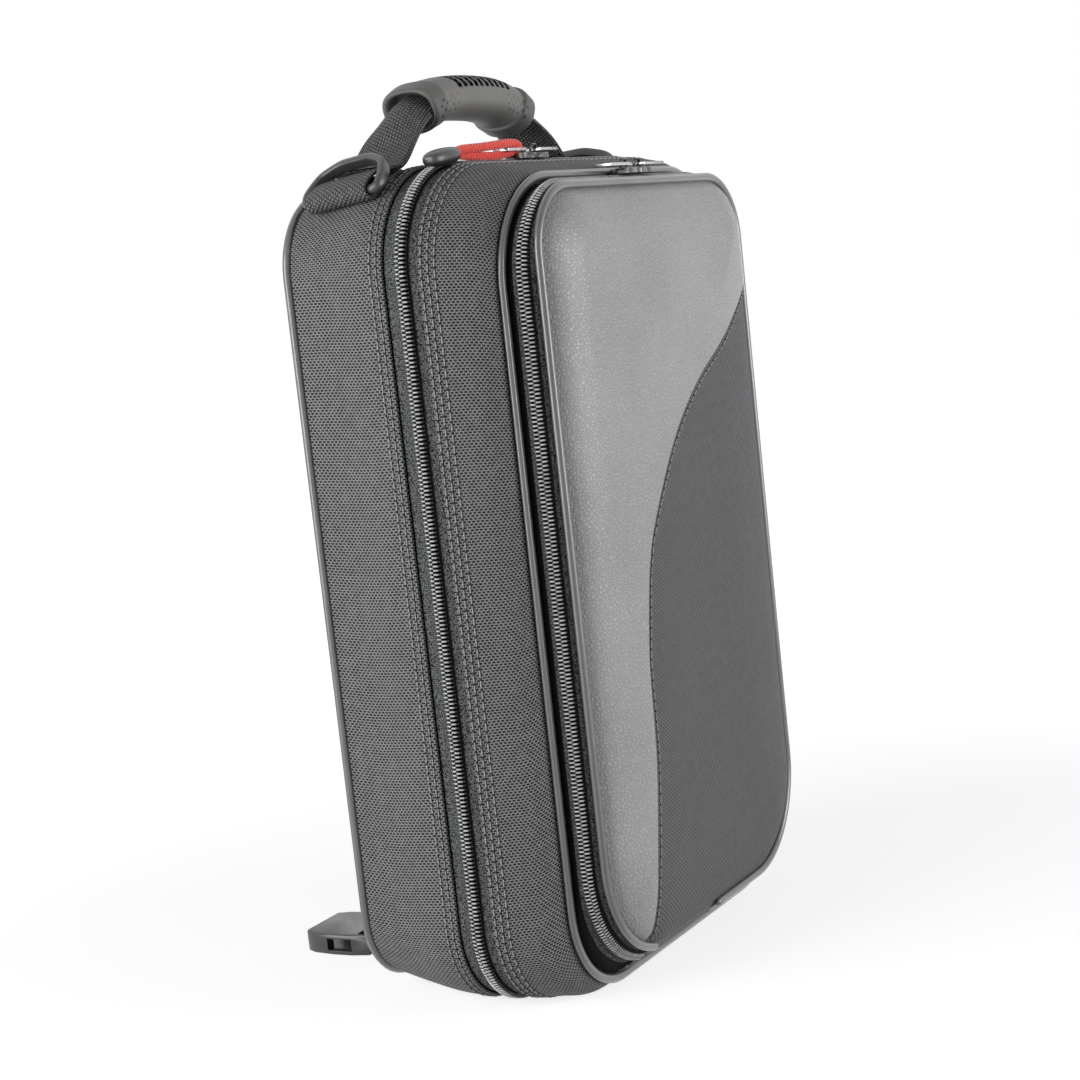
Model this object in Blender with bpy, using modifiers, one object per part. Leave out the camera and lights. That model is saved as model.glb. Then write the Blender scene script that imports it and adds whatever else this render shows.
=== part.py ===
"""Soft-sided oboe case, standing on its foot: a zipped clamshell with a fitted cradle, a padded front
pocket, a carrying handle, strap rings and strap buckles.

Metres, +Z up. The front pocket faces -Y, the lid opens about the spine on the +X side, and the origin is
on the floor under the middle of the rear shell's resting strip.
"""

import math

import bmesh
import bpy
from mathutils import Matrix, Vector

# Body at the main zip, its widest section
BODY_WIDTH = 0.214
BODY_HEIGHT = 0.3158
FOOT_RADIUS = 0.0356
TOP_RADIUS = 0.0405
REST_BACK = 0.012

# Rear shell, from the zip back to its piping
REAR_DEPTH = 0.0581
REAR_DRAW_IN = 0.0127
REAR_FOOT_RISE = 0.0054
REAR_TOP_DROP = 0.0058
REAR_FOOT_RADIUS = 0.0275
REAR_TOP_RADIUS = 0.031
BACK_CROWN = 0.005

# Front shell, from the zip forward to its piping
FRONT_DEPTH = 0.0306
FRONT_DRAW_IN = 0.0149
FRONT_FOOT_RISE = 0.0043
FRONT_TOP_DROP = 0.0069
FRONT_FOOT_RADIUS = 0.035
FRONT_TOP_RADIUS = 0.0406

# Pocket zip, forward of the front piping
POCKET_ZIP_STEP = 0.0071
POCKET_ZIP_DRAW_IN = 0.0169
POCKET_ZIP_RISE = 0.0092
POCKET_ZIP_DROP = 0.0101
POCKET_ZIP_FOOT_RADIUS = 0.0464
POCKET_ZIP_TOP_RADIUS = 0.0353

# Flap piping, forward of the pocket zip, and the crown of the padded flap
FLAP_STEP = 0.0060
FLAP_DRAW_IN = 0.0217
FLAP_RISE = 0.0141
FLAP_DROP = 0.0134
FLAP_FOOT_RADIUS = 0.0416
FLAP_TOP_RADIUS = 0.0248
FLAP_CROWN = 0.0115

# Walls, gaps and trim
SHELL_WALL = 0.005
FRONT_WALL = 0.004
SKIN = 0.0012
FLAP_PAD = 0.003
FIT = 0.0003
PAD_EASE = 0.0012
REAR_CORD = 0.0036
FRONT_CORD = 0.0042
CORNER_STEPS = 6

# Zips: half the chain's width, how far the coil stands above the tape, and where the tape goes under
MAIN_COIL = 0.00345
POCKET_COIL = 0.00285
COIL_RISE = 0.0012
TAPE = 0.0010
WELD = 0.000003
SEAM_GAP = 0.00045
MAIN_TAPE_SHOWN = 0.0028
TAPE_CLEAR = 0.0009

# Sliders and pulls
SLIDER_LENGTH = 0.0105
MAIN_SLIDER_WIDTH = 0.0092
POCKET_SLIDER_WIDTH = 0.0076
SLIDER_PLATE = 0.0022
SLIDER_NECK = 0.0058
PULL_WIRE = 0.0013
BRIDGE_SPAN = 0.0052
BRIDGE_RISE = 0.0027
MAIN_PULL_LENGTH = 0.0142
POCKET_PULL_LENGTH = 0.0170
PULL_WIDTH = 0.0068
WINDOW_SHARE = 0.62
SLIDER_GAP = 0.0012
MAIN_MEET = -0.0075
POCKET_MEET = 0.0060
PULL_CORD = 0.0026
PULL_CORD_LENGTH = 0.0400
CAP_LENGTH = 0.0240
CAP_WIDTH = 0.0100
CAP_HEIGHT = 0.0066
CAP_ROUND = 0.0026
CORD_SPREAD = 0.00195
CORD_SIDE = 0.00145

# Carrying handle
HANDLE_DEPTH = 0.033
HANDLE_GAP = 0.0035
HANDLE_RISE = 0.0288
HANDLE_BEND = 2.85
STRAP_WIDTH = 0.025
STRAP_WEB = 0.0018
ANCHOR_HEIGHT = 0.0035
ANCHOR_TAB = 0.0100
RISER_RUN = 0.0145
GRIP_INSET = 0.0100
GRIP_WIDTH = 0.0290
GRIP_THICKNESS = 0.0186
GROOVE_COUNT = 10
GROOVE_WIDTH = 0.0012
GROOVE_LENGTH = 0.0150
GROOVE_DEPTH = 0.0010
GROOVE_PITCH = 0.0036
GROOVE_ANGLE = -18.0
GRIP_TAPER_SHARE = 0.12
GRIP_END_SHARE = 0.90
GRIP_ROUNDNESS = 0.8
GRIP_SIDES = 20
GRIP_STATIONS = 14
STRAP_STATIONS = 20
RISER_STATIONS = 4
ANCHOR_BEND_SHARES = ((-0.1, 0.33), (0.3, 0.0))

# Strap rings at the top corners
RING_ANGLE = 42.0
RING_DEPTH = 0.0325
RING_TAB_WIDTH = 0.0290
RING_SIDE_GAP = 0.0014
RING_TAB_LENGTH = 0.0125
RING_WIRE = 0.0040
RING_RISE = 0.0165
RING_LEAN = 6.0
RING_SHAPE_SHARES = (
    (-1.0, 0.0), (-1.0, 0.30), (-0.72, 0.80), (-0.30, 1.0), (0.30, 1.0), (0.72, 0.80), (1.0, 0.30), (1.0, 0.0),
    (0.5, 0.0), (-0.5, 0.0),
)
TAB_SHARES = (1.0, 0.75, 0.5, 0.25)
SEAT_SHARES = (-0.35, -0.2, 0.0, 0.2, 0.35)
TAB_WEB = 0.0016

# Strap buckles on short webbing at the foot
BUCKLE_OFFSET = 0.0350
BUCKLE_WIDTH = 0.0310
BUCKLE_LENGTH = 0.0320
BUCKLE_HEIGHT = 0.0090
BUCKLE_BACK = 0.0930
BUCKLE_WALL = 0.0018
BUCKLE_BAR = 0.0032
WINDOW_LENGTH = 0.0120
WINDOW_HEIGHT = 0.0050
FOOT_WEB = 0.0016
FOOT_TAB_LENGTH = 0.0150
BUCKLE_ROUND = 0.0011
BUCKLE_BOW_SHARES = ((0.86, 0.0), (0.98, 0.25), (1.0, 0.55), (0.94, 0.85), (0.80, 1.0))
WEB_DROP_SHARE = 0.4

# Cradle for the instrument's joints
CRADLE_FRONT = 0.0120
LOWER_JOINT_RADIUS = 0.0175
LOWER_JOINT_LENGTH = 0.2550
LOWER_JOINT_INSET = 0.0370
UPPER_JOINT_RADIUS = 0.0160
UPPER_JOINT_LENGTH = 0.2400
JOINT_SPACING = 0.0430
BELL_MOUTH_RADIUS = 0.0240
BELL_THROAT_RADIUS = 0.0160
BELL_LENGTH = 0.1300
BELL_INSET = 0.0590
JOINT_FOOT = 0.0240
TRAY_WIDTH = 0.0720
TRAY_HEIGHT = 0.0950
TRAY_DEPTH = 0.0300
TRAY_RADIUS = 0.0080
TRAY_GAP = 0.0180
HOLD_STRAP_WIDTH = 0.0200
HOLD_STRAP_LENGTH = 0.0880
HOLD_STRAP_HEIGHTS = (0.0900, 0.2100)
LID_PAD = 0.0070
LID_PAD_EDGE = 0.0042

# Pivots: how far the lid's line lies outside the spine, and the flap's line below its hinge
LID_LINE_OUT = 0.0015
FLAP_LINE_DROP = 0.0005

# Places along the depth: shares of the depth, of the draw-in and drop, and of the foot's rise
REAR_PROFILE_SHARES = ((0.0, 0.0, 0.0), (0.38, 0.20, 0.0), (0.69, 0.68, 0.35), (1.0, 1.0, 1.0))
FRONT_PROFILE_SHARES = ((0.0, 0.0, 0.0), (0.50, 0.27, 0.0), (0.80, 0.57, 0.12), (1.0, 1.0, 1.0))

# Padded crown, from the rim to the middle: shares of the flap's half width and of the crown's height
CROWN_SHARES = ((0.0, 0.0), (0.05, 0.36), (0.13, 0.66), (0.26, 0.87), (0.45, 0.98), (0.70, 1.0))

# Seam between leather and cloth: shares of the flap's half width and of the body's height
SEAM_SHARES = (
    (1.00, 0.830), (0.68, 0.791), (0.385, 0.746), (0.16, 0.717), (-0.03, 0.682), (-0.20, 0.645),
    (-0.32, 0.607), (-0.40, 0.580), (-0.51, 0.537), (-0.57, 0.492), (-0.645, 0.400), (-0.64, 0.352),
    (-0.645, 0.280), (-0.69, 0.234), (-0.79, 0.145), (-0.85, 0.101), (-0.925, 0.084), (-1.10, 0.060),
)

# Pocket hinge along the foot: shares of the flap's half width where its two ends lie
HINGE_END_SHARES = (-0.60, 0.08)

COLOURS = {
    "nylon": ((0.075, 0.077, 0.080), 0.85, 0.0),
    "leather": ((0.22, 0.22, 0.22), 0.5, 0.0),
    "panel_cloth": ((0.11, 0.113, 0.116), 0.85, 0.0),
    "piping": ((0.25, 0.25, 0.25), 0.4, 0.0),
    "zip": ((0.05, 0.055, 0.053), 0.6, 0.0),
    "slider": ((0.06, 0.06, 0.06), 0.35, 0.8),
    "cord": ((0.75, 0.07, 0.04), 0.7, 0.0),
    "rubber": ((0.10, 0.10, 0.098), 0.5, 0.0),
    "plastic": ((0.08, 0.08, 0.08), 0.4, 0.0),
    "webbing": ((0.05, 0.05, 0.05), 0.9, 0.0),
    "lining": ((0.045, 0.045, 0.047), 0.95, 0.0),
}

ZIP_Y = -REST_BACK


def clear_scene():
    """Remove the objects the scene opens with."""
    for found in list(bpy.data.objects):
        bpy.data.objects.remove(found, do_unlink=True)


clear_scene()
parts = bpy.data.collections.new("oboe_case")
cutters = bpy.data.collections.new("cutters")
bpy.context.scene.collection.children.link(parts)
bpy.context.scene.collection.children.link(cutters)


def material(name):
    """A Principled material in one of the case's colours, made once."""
    if name in bpy.data.materials:
        return bpy.data.materials[name]
    colour, roughness, metallic = COLOURS[name]
    made = bpy.data.materials.new(name)
    made.use_nodes = True
    shader = made.node_tree.nodes["Principled BSDF"]
    shader.inputs["Base Color"].default_value = (*colour, 1.0)
    shader.inputs["Roughness"].default_value = roughness
    shader.inputs["Metallic"].default_value = metallic
    return made


def mesh_object(name, shape, finish):
    """An object from a bmesh, in the parts collection, or in the cutters when it has no finish."""
    mesh = bpy.data.meshes.new(name)
    shape.to_mesh(mesh)
    shape.free()
    made = bpy.data.objects.new(name, mesh)
    if finish:
        mesh.materials.append(material(finish))
        parts.objects.link(made)
        mesh.shade_smooth()
        mesh.set_sharp_from_angle(angle=math.radians(40))
    else:
        cutters.objects.link(made)
        made.hide_render = True
        made.display_type = "WIRE"
    return made


def boolean(target, cutter, operation="DIFFERENCE"):
    """A live Boolean of one object with another."""
    step = target.modifiers.new(operation.lower(), "BOOLEAN")
    step.operation = operation
    step.object = cutter
    return target


class Loop:
    """A rounded rectangle at one depth behind the zip plane, with unlike foot and top corners."""

    def __init__(self, depth, half_width, foot, top, foot_radius, top_radius):
        self.depth = depth
        self.half_width = half_width
        self.foot = foot
        self.top = top
        self.foot_radius = foot_radius
        self.top_radius = top_radius

    def grown(self, by, depth=None):
        """The same loop a distance further out, or in where it is negative."""
        return Loop(
            self.depth if depth is None else depth,
            self.half_width + by,
            self.foot - by,
            self.top + by,
            max(self.foot_radius + by, FIT),
            max(self.top_radius + by, FIT),
        )

    def blended(self, other, share, depth=None):
        """A loop part of the way to another one."""
        mixed = [
            a + (b - a) * share
            for a, b in zip(self.values(), other.values())
        ]
        if depth is not None:
            mixed[0] = depth
        return Loop(*mixed)

    def values(self):
        return (self.depth, self.half_width, self.foot, self.top, self.foot_radius, self.top_radius)

    def points(self):
        """Corners as arcs: foot at +X, foot at -X, top at -X, top at +X."""
        corners = (
            (1, self.foot + self.foot_radius, self.foot_radius, 0),
            (-1, self.foot + self.foot_radius, self.foot_radius, -90),
            (-1, self.top - self.top_radius, self.top_radius, -180),
            (1, self.top - self.top_radius, self.top_radius, -270),
        )
        found = []
        for side, centre_z, radius, start in corners:
            centre_x = side * (self.half_width - radius)
            for step in range(CORNER_STEPS + 1):
                turn = math.radians(start - 90 * step / CORNER_STEPS)
                found.append(
                    Vector((
                        centre_x + radius * math.cos(turn),
                        ZIP_Y + self.depth,
                        centre_z + radius * math.sin(turn),
                    ))
                )
        return found


ZIP_LOOP = Loop(0.0, BODY_WIDTH / 2, 0.0, BODY_HEIGHT, FOOT_RADIUS, TOP_RADIUS)
REAR_LOOP = Loop(
    REAR_DEPTH, BODY_WIDTH / 2 - REAR_DRAW_IN, REAR_FOOT_RISE, BODY_HEIGHT - REAR_TOP_DROP,
    REAR_FOOT_RADIUS, REAR_TOP_RADIUS,
)
FRONT_LOOP = Loop(
    -FRONT_DEPTH, BODY_WIDTH / 2 - FRONT_DRAW_IN, FRONT_FOOT_RISE, BODY_HEIGHT - FRONT_TOP_DROP,
    FRONT_FOOT_RADIUS, FRONT_TOP_RADIUS,
)
POCKET_LOOP = Loop(
    -FRONT_DEPTH - POCKET_ZIP_STEP, BODY_WIDTH / 2 - POCKET_ZIP_DRAW_IN, POCKET_ZIP_RISE,
    BODY_HEIGHT - POCKET_ZIP_DROP, POCKET_ZIP_FOOT_RADIUS, POCKET_ZIP_TOP_RADIUS,
)
FLAP_LOOP = Loop(
    POCKET_LOOP.depth - FLAP_STEP, BODY_WIDTH / 2 - FLAP_DRAW_IN, FLAP_RISE, BODY_HEIGHT - FLAP_DROP,
    FLAP_FOOT_RADIUS, FLAP_TOP_RADIUS,
)


def band_loop(end, shares, depth):
    """The shell's outer section at a depth, between the zip and the loop at the band's far end."""
    place = depth / end.depth
    for (near, near_in, near_up), (far, far_in, far_up) in zip(shares, shares[1:]):
        if place <= far:
            step = (place - near) / (far - near)
            drawn = near_in + (far_in - near_in) * step
            raised = near_up + (far_up - near_up) * step
            break
    found = ZIP_LOOP.blended(end, drawn, depth)
    found.foot = ZIP_LOOP.foot + (end.foot - ZIP_LOOP.foot) * raised
    return found


REAR_WALL = REAR_DEPTH - REAR_CORD / 2 - FIT
FRONT_WALL_DEPTH = FRONT_DEPTH - FRONT_CORD / 2 - FIT
TAPE_EDGE = MAIN_COIL + MAIN_TAPE_SHOWN


def rear_loop(depth):
    return band_loop(REAR_LOOP, REAR_PROFILE_SHARES, depth)


def front_loop(depth):
    return band_loop(FRONT_LOOP, FRONT_PROFILE_SHARES, depth)


def bridge(shape, rows, closed_path=True, closed_profile=False):
    """Quads between neighbouring rows of points, which are added to the bmesh and returned as vertices."""
    made = [[shape.verts.new(point) for point in row] for row in rows]
    pairs = list(zip(made, made[1:]))
    if closed_profile:
        pairs.append((made[-1], made[0]))
    count = len(made[0])
    for near, far in pairs:
        for i in range(count if closed_path else count - 1):
            j = (i + 1) % count
            shape.faces.new((near[i], near[j], far[j], far[i]))
    return made


def tray(name, loops, wall, finish):
    """An open box or a crowned sheet: a band through the loops, closed at its end, thickened inwards."""
    shape = bmesh.new()
    made = bridge(shape, [loop.points() for loop in loops])
    shape.faces.new(made[-1])
    if loops[-1].depth < loops[0].depth:
        bmesh.ops.reverse_faces(shape, faces=shape.faces)
    tray_object = mesh_object(name, shape, finish)
    wall_step = tray_object.modifiers.new("wall", "SOLIDIFY")
    wall_step.thickness = wall
    wall_step.offset = -1
    wall_step.use_even_offset = True
    return tray_object


def block(name, loops, finish):
    """A closed solid through the loops, with flat ends."""
    shape = bmesh.new()
    made = bridge(shape, [loop.points() for loop in loops])
    shape.faces.new(made[0])
    shape.faces.new(made[-1])
    bmesh.ops.recalc_face_normals(shape, faces=shape.faces)
    return mesh_object(name, shape, finish)


def split_at(points, x):
    """Where the foot run crosses x, as the number of the point before it and the share of the way on."""
    for i in range(2 * CORNER_STEPS + 1):
        near, far = points[i].x, points[i + 1].x
        if near >= x >= far and near > far:
            return i, (near - x) / (near - far)
    return CORNER_STEPS, 0.5


def along(points, place):
    number, share = place
    return points[number].lerp(points[number + 1], share)


def opened(points, start, end):
    """The loop from a place on its foot round to another place there, without the stretch between them."""
    first, last = start[0] + 1, end[0]
    return [along(points, start)] + points[first:] + points[: last + 1] + [along(points, end)]


def between(points, start, end):
    """The stretch of the foot between two places."""
    return [along(points, start)] + points[start[0] + 1: end[0] + 1] + [along(points, end)]


def strip(name, rows, finish):
    """A closed strip whose cross-section has one corner on each row, with capped ends."""
    shape = bmesh.new()
    made = bridge(shape, rows, closed_path=False, closed_profile=True)
    for end in (0, -1):
        shape.faces.new([row[end] for row in made])
    bmesh.ops.recalc_face_normals(shape, faces=shape.faces)
    return mesh_object(name, shape, finish)


def tube(name, points, diameter, finish, closed=False, sides=2):
    """A round cord or wire along points."""
    data = bpy.data.curves.new(name, "CURVE")
    data.dimensions = "3D"
    data.bevel_depth = diameter / 2
    data.bevel_resolution = sides
    data.use_fill_caps = not closed
    spline = data.splines.new("POLY")
    spline.points.add(len(points) - 1)
    for slot, point in zip(spline.points, points):
        slot.co = (*point, 1.0)
    spline.use_cyclic_u = closed
    data.materials.append(material(finish))
    made = bpy.data.objects.new(name, data)
    parts.objects.link(made)
    return made


def as_mesh(source, finish):
    """The curve object made a mesh with its caps welded, under the same name and place."""
    bpy.context.view_layer.update()
    graph = bpy.context.evaluated_depsgraph_get()
    mesh = bpy.data.meshes.new_from_object(source.evaluated_get(graph))
    shape = bmesh.new()
    shape.from_mesh(mesh)
    bmesh.ops.remove_doubles(shape, verts=shape.verts, dist=WELD)
    shape.transform(source.matrix_world)
    name = source.name
    bpy.data.objects.remove(source, do_unlink=True)
    bpy.data.meshes.remove(mesh)
    bmesh.ops.recalc_face_normals(shape, faces=shape.faces)
    return mesh_object(name, shape, finish)


def plate(name, outlines, thickness, place, finish):
    """Flat outlines in a plane, holes after the first, extruded to a thickness and set in place."""
    data = bpy.data.curves.new(name, "CURVE")
    data.dimensions = "2D"
    data.fill_mode = "BOTH"
    data.extrude = thickness / 2
    for outline in outlines:
        spline = data.splines.new("POLY")
        spline.points.add(len(outline) - 1)
        for slot, (x, y) in zip(spline.points, outline):
            slot.co = (x, y, 0.0, 1.0)
        spline.use_cyclic_u = True
    source = bpy.data.objects.new(name, data)
    parts.objects.link(source)
    source.matrix_world = place
    return as_mesh(source, finish)


def box(name, low, high, finish, rounded=0.0):
    """A box between two corners, its edges rounded on request."""
    shape = bmesh.new()
    bmesh.ops.create_cube(shape, size=1.0)
    size = Vector(high) - Vector(low)
    shape.transform(Matrix.Translation((Vector(low) + Vector(high)) / 2) @ Matrix.Diagonal((*size, 1.0)))
    made = mesh_object(name, shape, finish)
    if rounded:
        edge = made.modifiers.new("edges", "BEVEL")
        edge.width = rounded
        edge.segments = 2
    return made


def arc(centre, radius, start, end, steps):
    """Points on an arc in a plane, in degrees."""
    found = []
    for step in range(steps + 1):
        turn = math.radians(start + (end - start) * step / steps)
        found.append((centre[0] + radius * math.cos(turn), centre[1] + radius * math.sin(turn)))
    return found


def rounded_outline(half_x, half_y, radius, steps=4):
    """A rounded rectangle about the origin."""
    found = []
    for sx, sy, start in ((1, 1, 0), (-1, 1, 90), (-1, -1, 180), (1, -1, 270)):
        found += arc((sx * (half_x - radius), sy * (half_y - radius)), radius, start, start + 90, steps)
    return found


def thick_line(points, thickness):
    """The outline of a line of points given a thickness, as webbing is seen from its edge."""
    upper, lower = [], []
    for i, point in enumerate(points):
        before = Vector(points[max(i - 1, 0)])
        after = Vector(points[min(i + 1, len(points) - 1)])
        run = (after - before).normalized()
        side = Vector((-run.y, run.x)) * thickness / 2
        upper.append(tuple(Vector(point) + side))
        lower.append(tuple(Vector(point) - side))
    return upper + lower[::-1]


UPRIGHT = Matrix.Rotation(math.radians(90), 4, "X")


def across(depth, side=1):
    """Places an outline drawn in X and Z at a depth behind the zip plane, mirrored for the other side."""
    return Matrix.Translation((0.0, ZIP_Y + depth, 0.0)) @ Matrix.Diagonal((side, 1.0, 1.0, 1.0)) @ UPRIGHT


def build_shells():
    """Rear shell, front shell, and the padded panel on the back."""
    middles = [share[0] * REAR_DEPTH for share in REAR_PROFILE_SHARES[1:-1]]
    tray("rear_shell", [rear_loop(depth) for depth in [TAPE_EDGE] + middles + [REAR_WALL]], SHELL_WALL, "nylon")
    middles = [share[0] * FRONT_DEPTH for share in FRONT_PROFILE_SHARES[1:-1]]
    front = [front_loop(-depth) for depth in [TAPE_EDGE] + middles + [FRONT_WALL_DEPTH]]
    tray("front_shell", front, FRONT_WALL, "nylon")
    seat = REAR_WALL + FIT
    inside = REAR_CORD / 2 + FIT
    panel = [REAR_LOOP.grown(-inside, seat)]
    for share, height in CROWN_SHARES[1:4]:
        panel.append(REAR_LOOP.grown(-inside - share * REAR_LOOP.half_width, seat + height * BACK_CROWN))
    block("back_panel", panel, "nylon")


def build_piping():
    """Covered cords along the shells' outer edges, seated against the walls that they are sewn to."""
    tube("rear_piping", REAR_LOOP.points(), REAR_CORD, "piping", closed=True)
    tube("front_piping", FRONT_LOOP.points(), FRONT_CORD, "piping", closed=True)


def build_shell_zip():
    """The main zip's two halves: tape with a raised coil edge, from the spine round the other three sides."""
    for name, side in (("main_zip_rear", 1), ("main_zip_front", -1)):
        loop_at = rear_loop if side > 0 else front_loop
        edge = TAPE_EDGE - TAPE_CLEAR
        corners = (
            (FIT, -COIL_RISE), (2 * FIT, 0.0), (MAIN_COIL, 0.0), (MAIN_COIL, -COIL_RISE),
            (edge, -COIL_RISE), (edge, -COIL_RISE - TAPE), (FIT, -COIL_RISE - TAPE),
        )
        rows = [loop_at(side * depth).grown(grow, side * depth).points() for depth, grow in corners]
        strip(name, rows, "zip")


def build_spine():
    """The spine's two leaves, which carry the lid's hinge line on the +X side."""
    out = BODY_WIDTH / 2
    edge = TAPE_EDGE - TAPE_CLEAR
    low = FOOT_RADIUS + 2 * FIT
    high = min(loop.top - loop.top_radius for loop in (rear_loop(edge), front_loop(-edge))) - 2 * FIT
    for name, side in (("spine_rear", 1), ("spine_front", -1)):
        near, far = sorted((side * FIT, side * edge))
        box(
            name, (out - COIL_RISE - TAPE, ZIP_Y + near, low), (out, ZIP_Y + far, high), "nylon",
        )


def pocket_rows(side):
    """Cross-section rows of the strip that joins the pocket zip to one of the two pipings."""
    if side > 0:
        far = FRONT_LOOP.grown(-FRONT_CORD / 2 - 2 * FIT, -FRONT_WALL_DEPTH - FIT)
    else:
        far = FLAP_LOOP.grown(-COIL_RISE, FLAP_LOOP.depth + FRONT_CORD / 2 + FIT)
    zip_depth = POCKET_LOOP.depth
    corners = [
        POCKET_LOOP.grown(-COIL_RISE, zip_depth + side * FIT),
        POCKET_LOOP.grown(0.0, zip_depth + side * 2 * FIT),
        POCKET_LOOP.grown(0.0, zip_depth + side * POCKET_COIL),
        far,
        far.grown(-TAPE),
        POCKET_LOOP.grown(-COIL_RISE - TAPE, zip_depth + side * POCKET_COIL),
        POCKET_LOOP.grown(-COIL_RISE - TAPE, zip_depth + side * FIT),
    ]
    return corners


def build_pocket():
    """The pocket's zip halves and the two leaves of its hinge, which share one line round the pocket."""
    reference = POCKET_LOOP.points()
    ends = sorted(share * FLAP_LOOP.half_width for share in HINGE_END_SHARES)
    left, right = split_at(reference, ends[0]), split_at(reference, ends[1])
    left_clear = split_at(reference, ends[0] + TAPE_CLEAR)
    right_clear = split_at(reference, ends[1] - TAPE_CLEAR)
    for side, zip_name, hinge_name in (
        (1, "pocket_zip_rear", "pocket_hinge_rear"),
        (-1, "pocket_zip_front", "pocket_hinge_front"),
    ):
        rows = [loop.points() for loop in pocket_rows(side)]
        strip(zip_name, [opened(row, left, right) for row in rows], "zip")
        seat = POCKET_LOOP.grown(-COIL_RISE, POCKET_LOOP.depth + side * POCKET_COIL).points()
        flat = [rows[0], seat] + rows[3:]
        strip(hinge_name, [between(row, right_clear, left_clear) for row in flat], "nylon")
    piping = FLAP_LOOP.points()
    start = split_at(piping, ends[0])
    end = split_at(piping, ends[1])
    tube("flap_piping", opened(piping, start, end), FRONT_CORD, "piping")


def crowned(inset, crown, depth):
    """Loops of a padded crown over the flap, from its rim to its middle."""
    found = []
    for share, height in CROWN_SHARES:
        found.append(FLAP_LOOP.grown(-inset - share * (FLAP_LOOP.half_width - inset), depth - height * crown))
    return found


def build_flap():
    """The padded flap: a foam shell with a leather skin and a cloth skin meeting at a curved seam."""
    rim = FRONT_CORD / 2 + FIT
    loops = crowned(rim, FLAP_CROWN, FLAP_LOOP.depth)
    under = crowned(rim + SKIN + FIT, FLAP_CROWN, FLAP_LOOP.depth + SKIN + FIT)
    tray("flap_pad", under, FLAP_PAD, "lining")
    overrun = 2 * FLAP_CROWN
    half = FLAP_LOOP.half_width
    seam = [(share_x * half, share_z * BODY_HEIGHT) for share_x, share_z in SEAM_SHARES]
    far_left, far_top = -BODY_WIDTH, 2 * BODY_HEIGHT
    for name, finish, gap, operation in (
        ("leather_panel", "leather", 0.0, "INTERSECT"),
        ("cloth_panel", "panel_cloth", SEAM_GAP, "DIFFERENCE"),
    ):
        skin = tray(name, loops, SKIN, finish)
        outline = [(x + gap, z - gap) for x, z in seam]
        outline = [(BODY_WIDTH, outline[0][1])] + outline
        outline += [(far_left, outline[-1][1]), (far_left, far_top), (BODY_WIDTH, far_top)]
        region = plate(name + "_region", [outline], 4 * overrun, across(FLAP_LOOP.depth - overrun), None)
        boolean(skin, region, operation)


def trough(name, x, low, high, radius_low, radius_high):
    """A cutter with a round bed and straight walls open to the front, its radius changing along its length."""
    shape = bmesh.new()
    rows = []
    for z, radius in ((low, radius_low), (high, radius_high)):
        bed = ZIP_Y + CRADLE_FRONT + radius / 2
        mouth = ZIP_Y + CRADLE_FRONT - radius
        outline = [(x + radius, mouth)] + arc((x, bed), radius, 0, 180, 8) + [(x - radius, mouth)]
        rows.append([Vector((px, py, z)) for px, py in outline])
    made = bridge(shape, rows)
    shape.faces.new(made[0])
    shape.faces.new(made[1])
    bmesh.ops.recalc_face_normals(shape, faces=shape.faces)
    return mesh_object(name, shape, None)


def build_cradle():
    """The fitted bed for the instrument's joints, its hold-down straps, and the lid's pad."""
    inset = SHELL_WALL + PAD_EASE
    back = REAR_WALL - SHELL_WALL - FIT
    depths = [CRADLE_FRONT] + [share[0] * REAR_DEPTH for share in REAR_PROFILE_SHARES[1:3]] + [back]
    cradle = block("instrument_cradle", [rear_loop(depth).grown(-inset, depth) for depth in depths], "lining")
    lower_x = LOWER_JOINT_INSET - BODY_WIDTH / 2
    upper_x = lower_x + JOINT_SPACING
    bell_x = BODY_WIDTH / 2 - BELL_INSET
    for name, x, length, low_radius, high_radius in (
        ("lower_joint_bed", lower_x, LOWER_JOINT_LENGTH, LOWER_JOINT_RADIUS, LOWER_JOINT_RADIUS),
        ("upper_joint_bed", upper_x, UPPER_JOINT_LENGTH, UPPER_JOINT_RADIUS, UPPER_JOINT_RADIUS),
        ("bell_bed", bell_x, BELL_LENGTH, BELL_MOUTH_RADIUS, BELL_THROAT_RADIUS),
    ):
        bed = trough(name, x, JOINT_FOOT, JOINT_FOOT + length, low_radius, high_radius)
        boolean(cradle, bed)
    tray_low = JOINT_FOOT + BELL_LENGTH + TRAY_GAP
    place = across(CRADLE_FRONT) @ Matrix.Translation((bell_x, tray_low + TRAY_HEIGHT / 2, 0.0))
    outline = rounded_outline(TRAY_WIDTH / 2, TRAY_HEIGHT / 2, TRAY_RADIUS)
    boolean(cradle, plate("tray_bed", [outline], 2 * TRAY_DEPTH, place, None))
    middle = (lower_x + upper_x) / 2
    for name, height in zip(("hold_strap_lower", "hold_strap_upper"), HOLD_STRAP_HEIGHTS):
        front = ZIP_Y + CRADLE_FRONT - FIT
        box(
            name,
            (middle - HOLD_STRAP_LENGTH / 2, front - STRAP_WEB, height - HOLD_STRAP_WIDTH / 2),
            (middle + HOLD_STRAP_LENGTH / 2, front, height + HOLD_STRAP_WIDTH / 2),
            "webbing",
        )
    wall = -FRONT_WALL_DEPTH + FRONT_WALL + FIT
    inset = FRONT_WALL + FIT + FRONT_DRAW_IN / 2
    pad = [
        FRONT_LOOP.grown(-inset, wall),
        FRONT_LOOP.grown(-inset, wall + LID_PAD_EDGE),
        FRONT_LOOP.grown(-inset - LID_PAD, wall + LID_PAD),
    ]
    block("lid_pad", pad, "lining")


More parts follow.
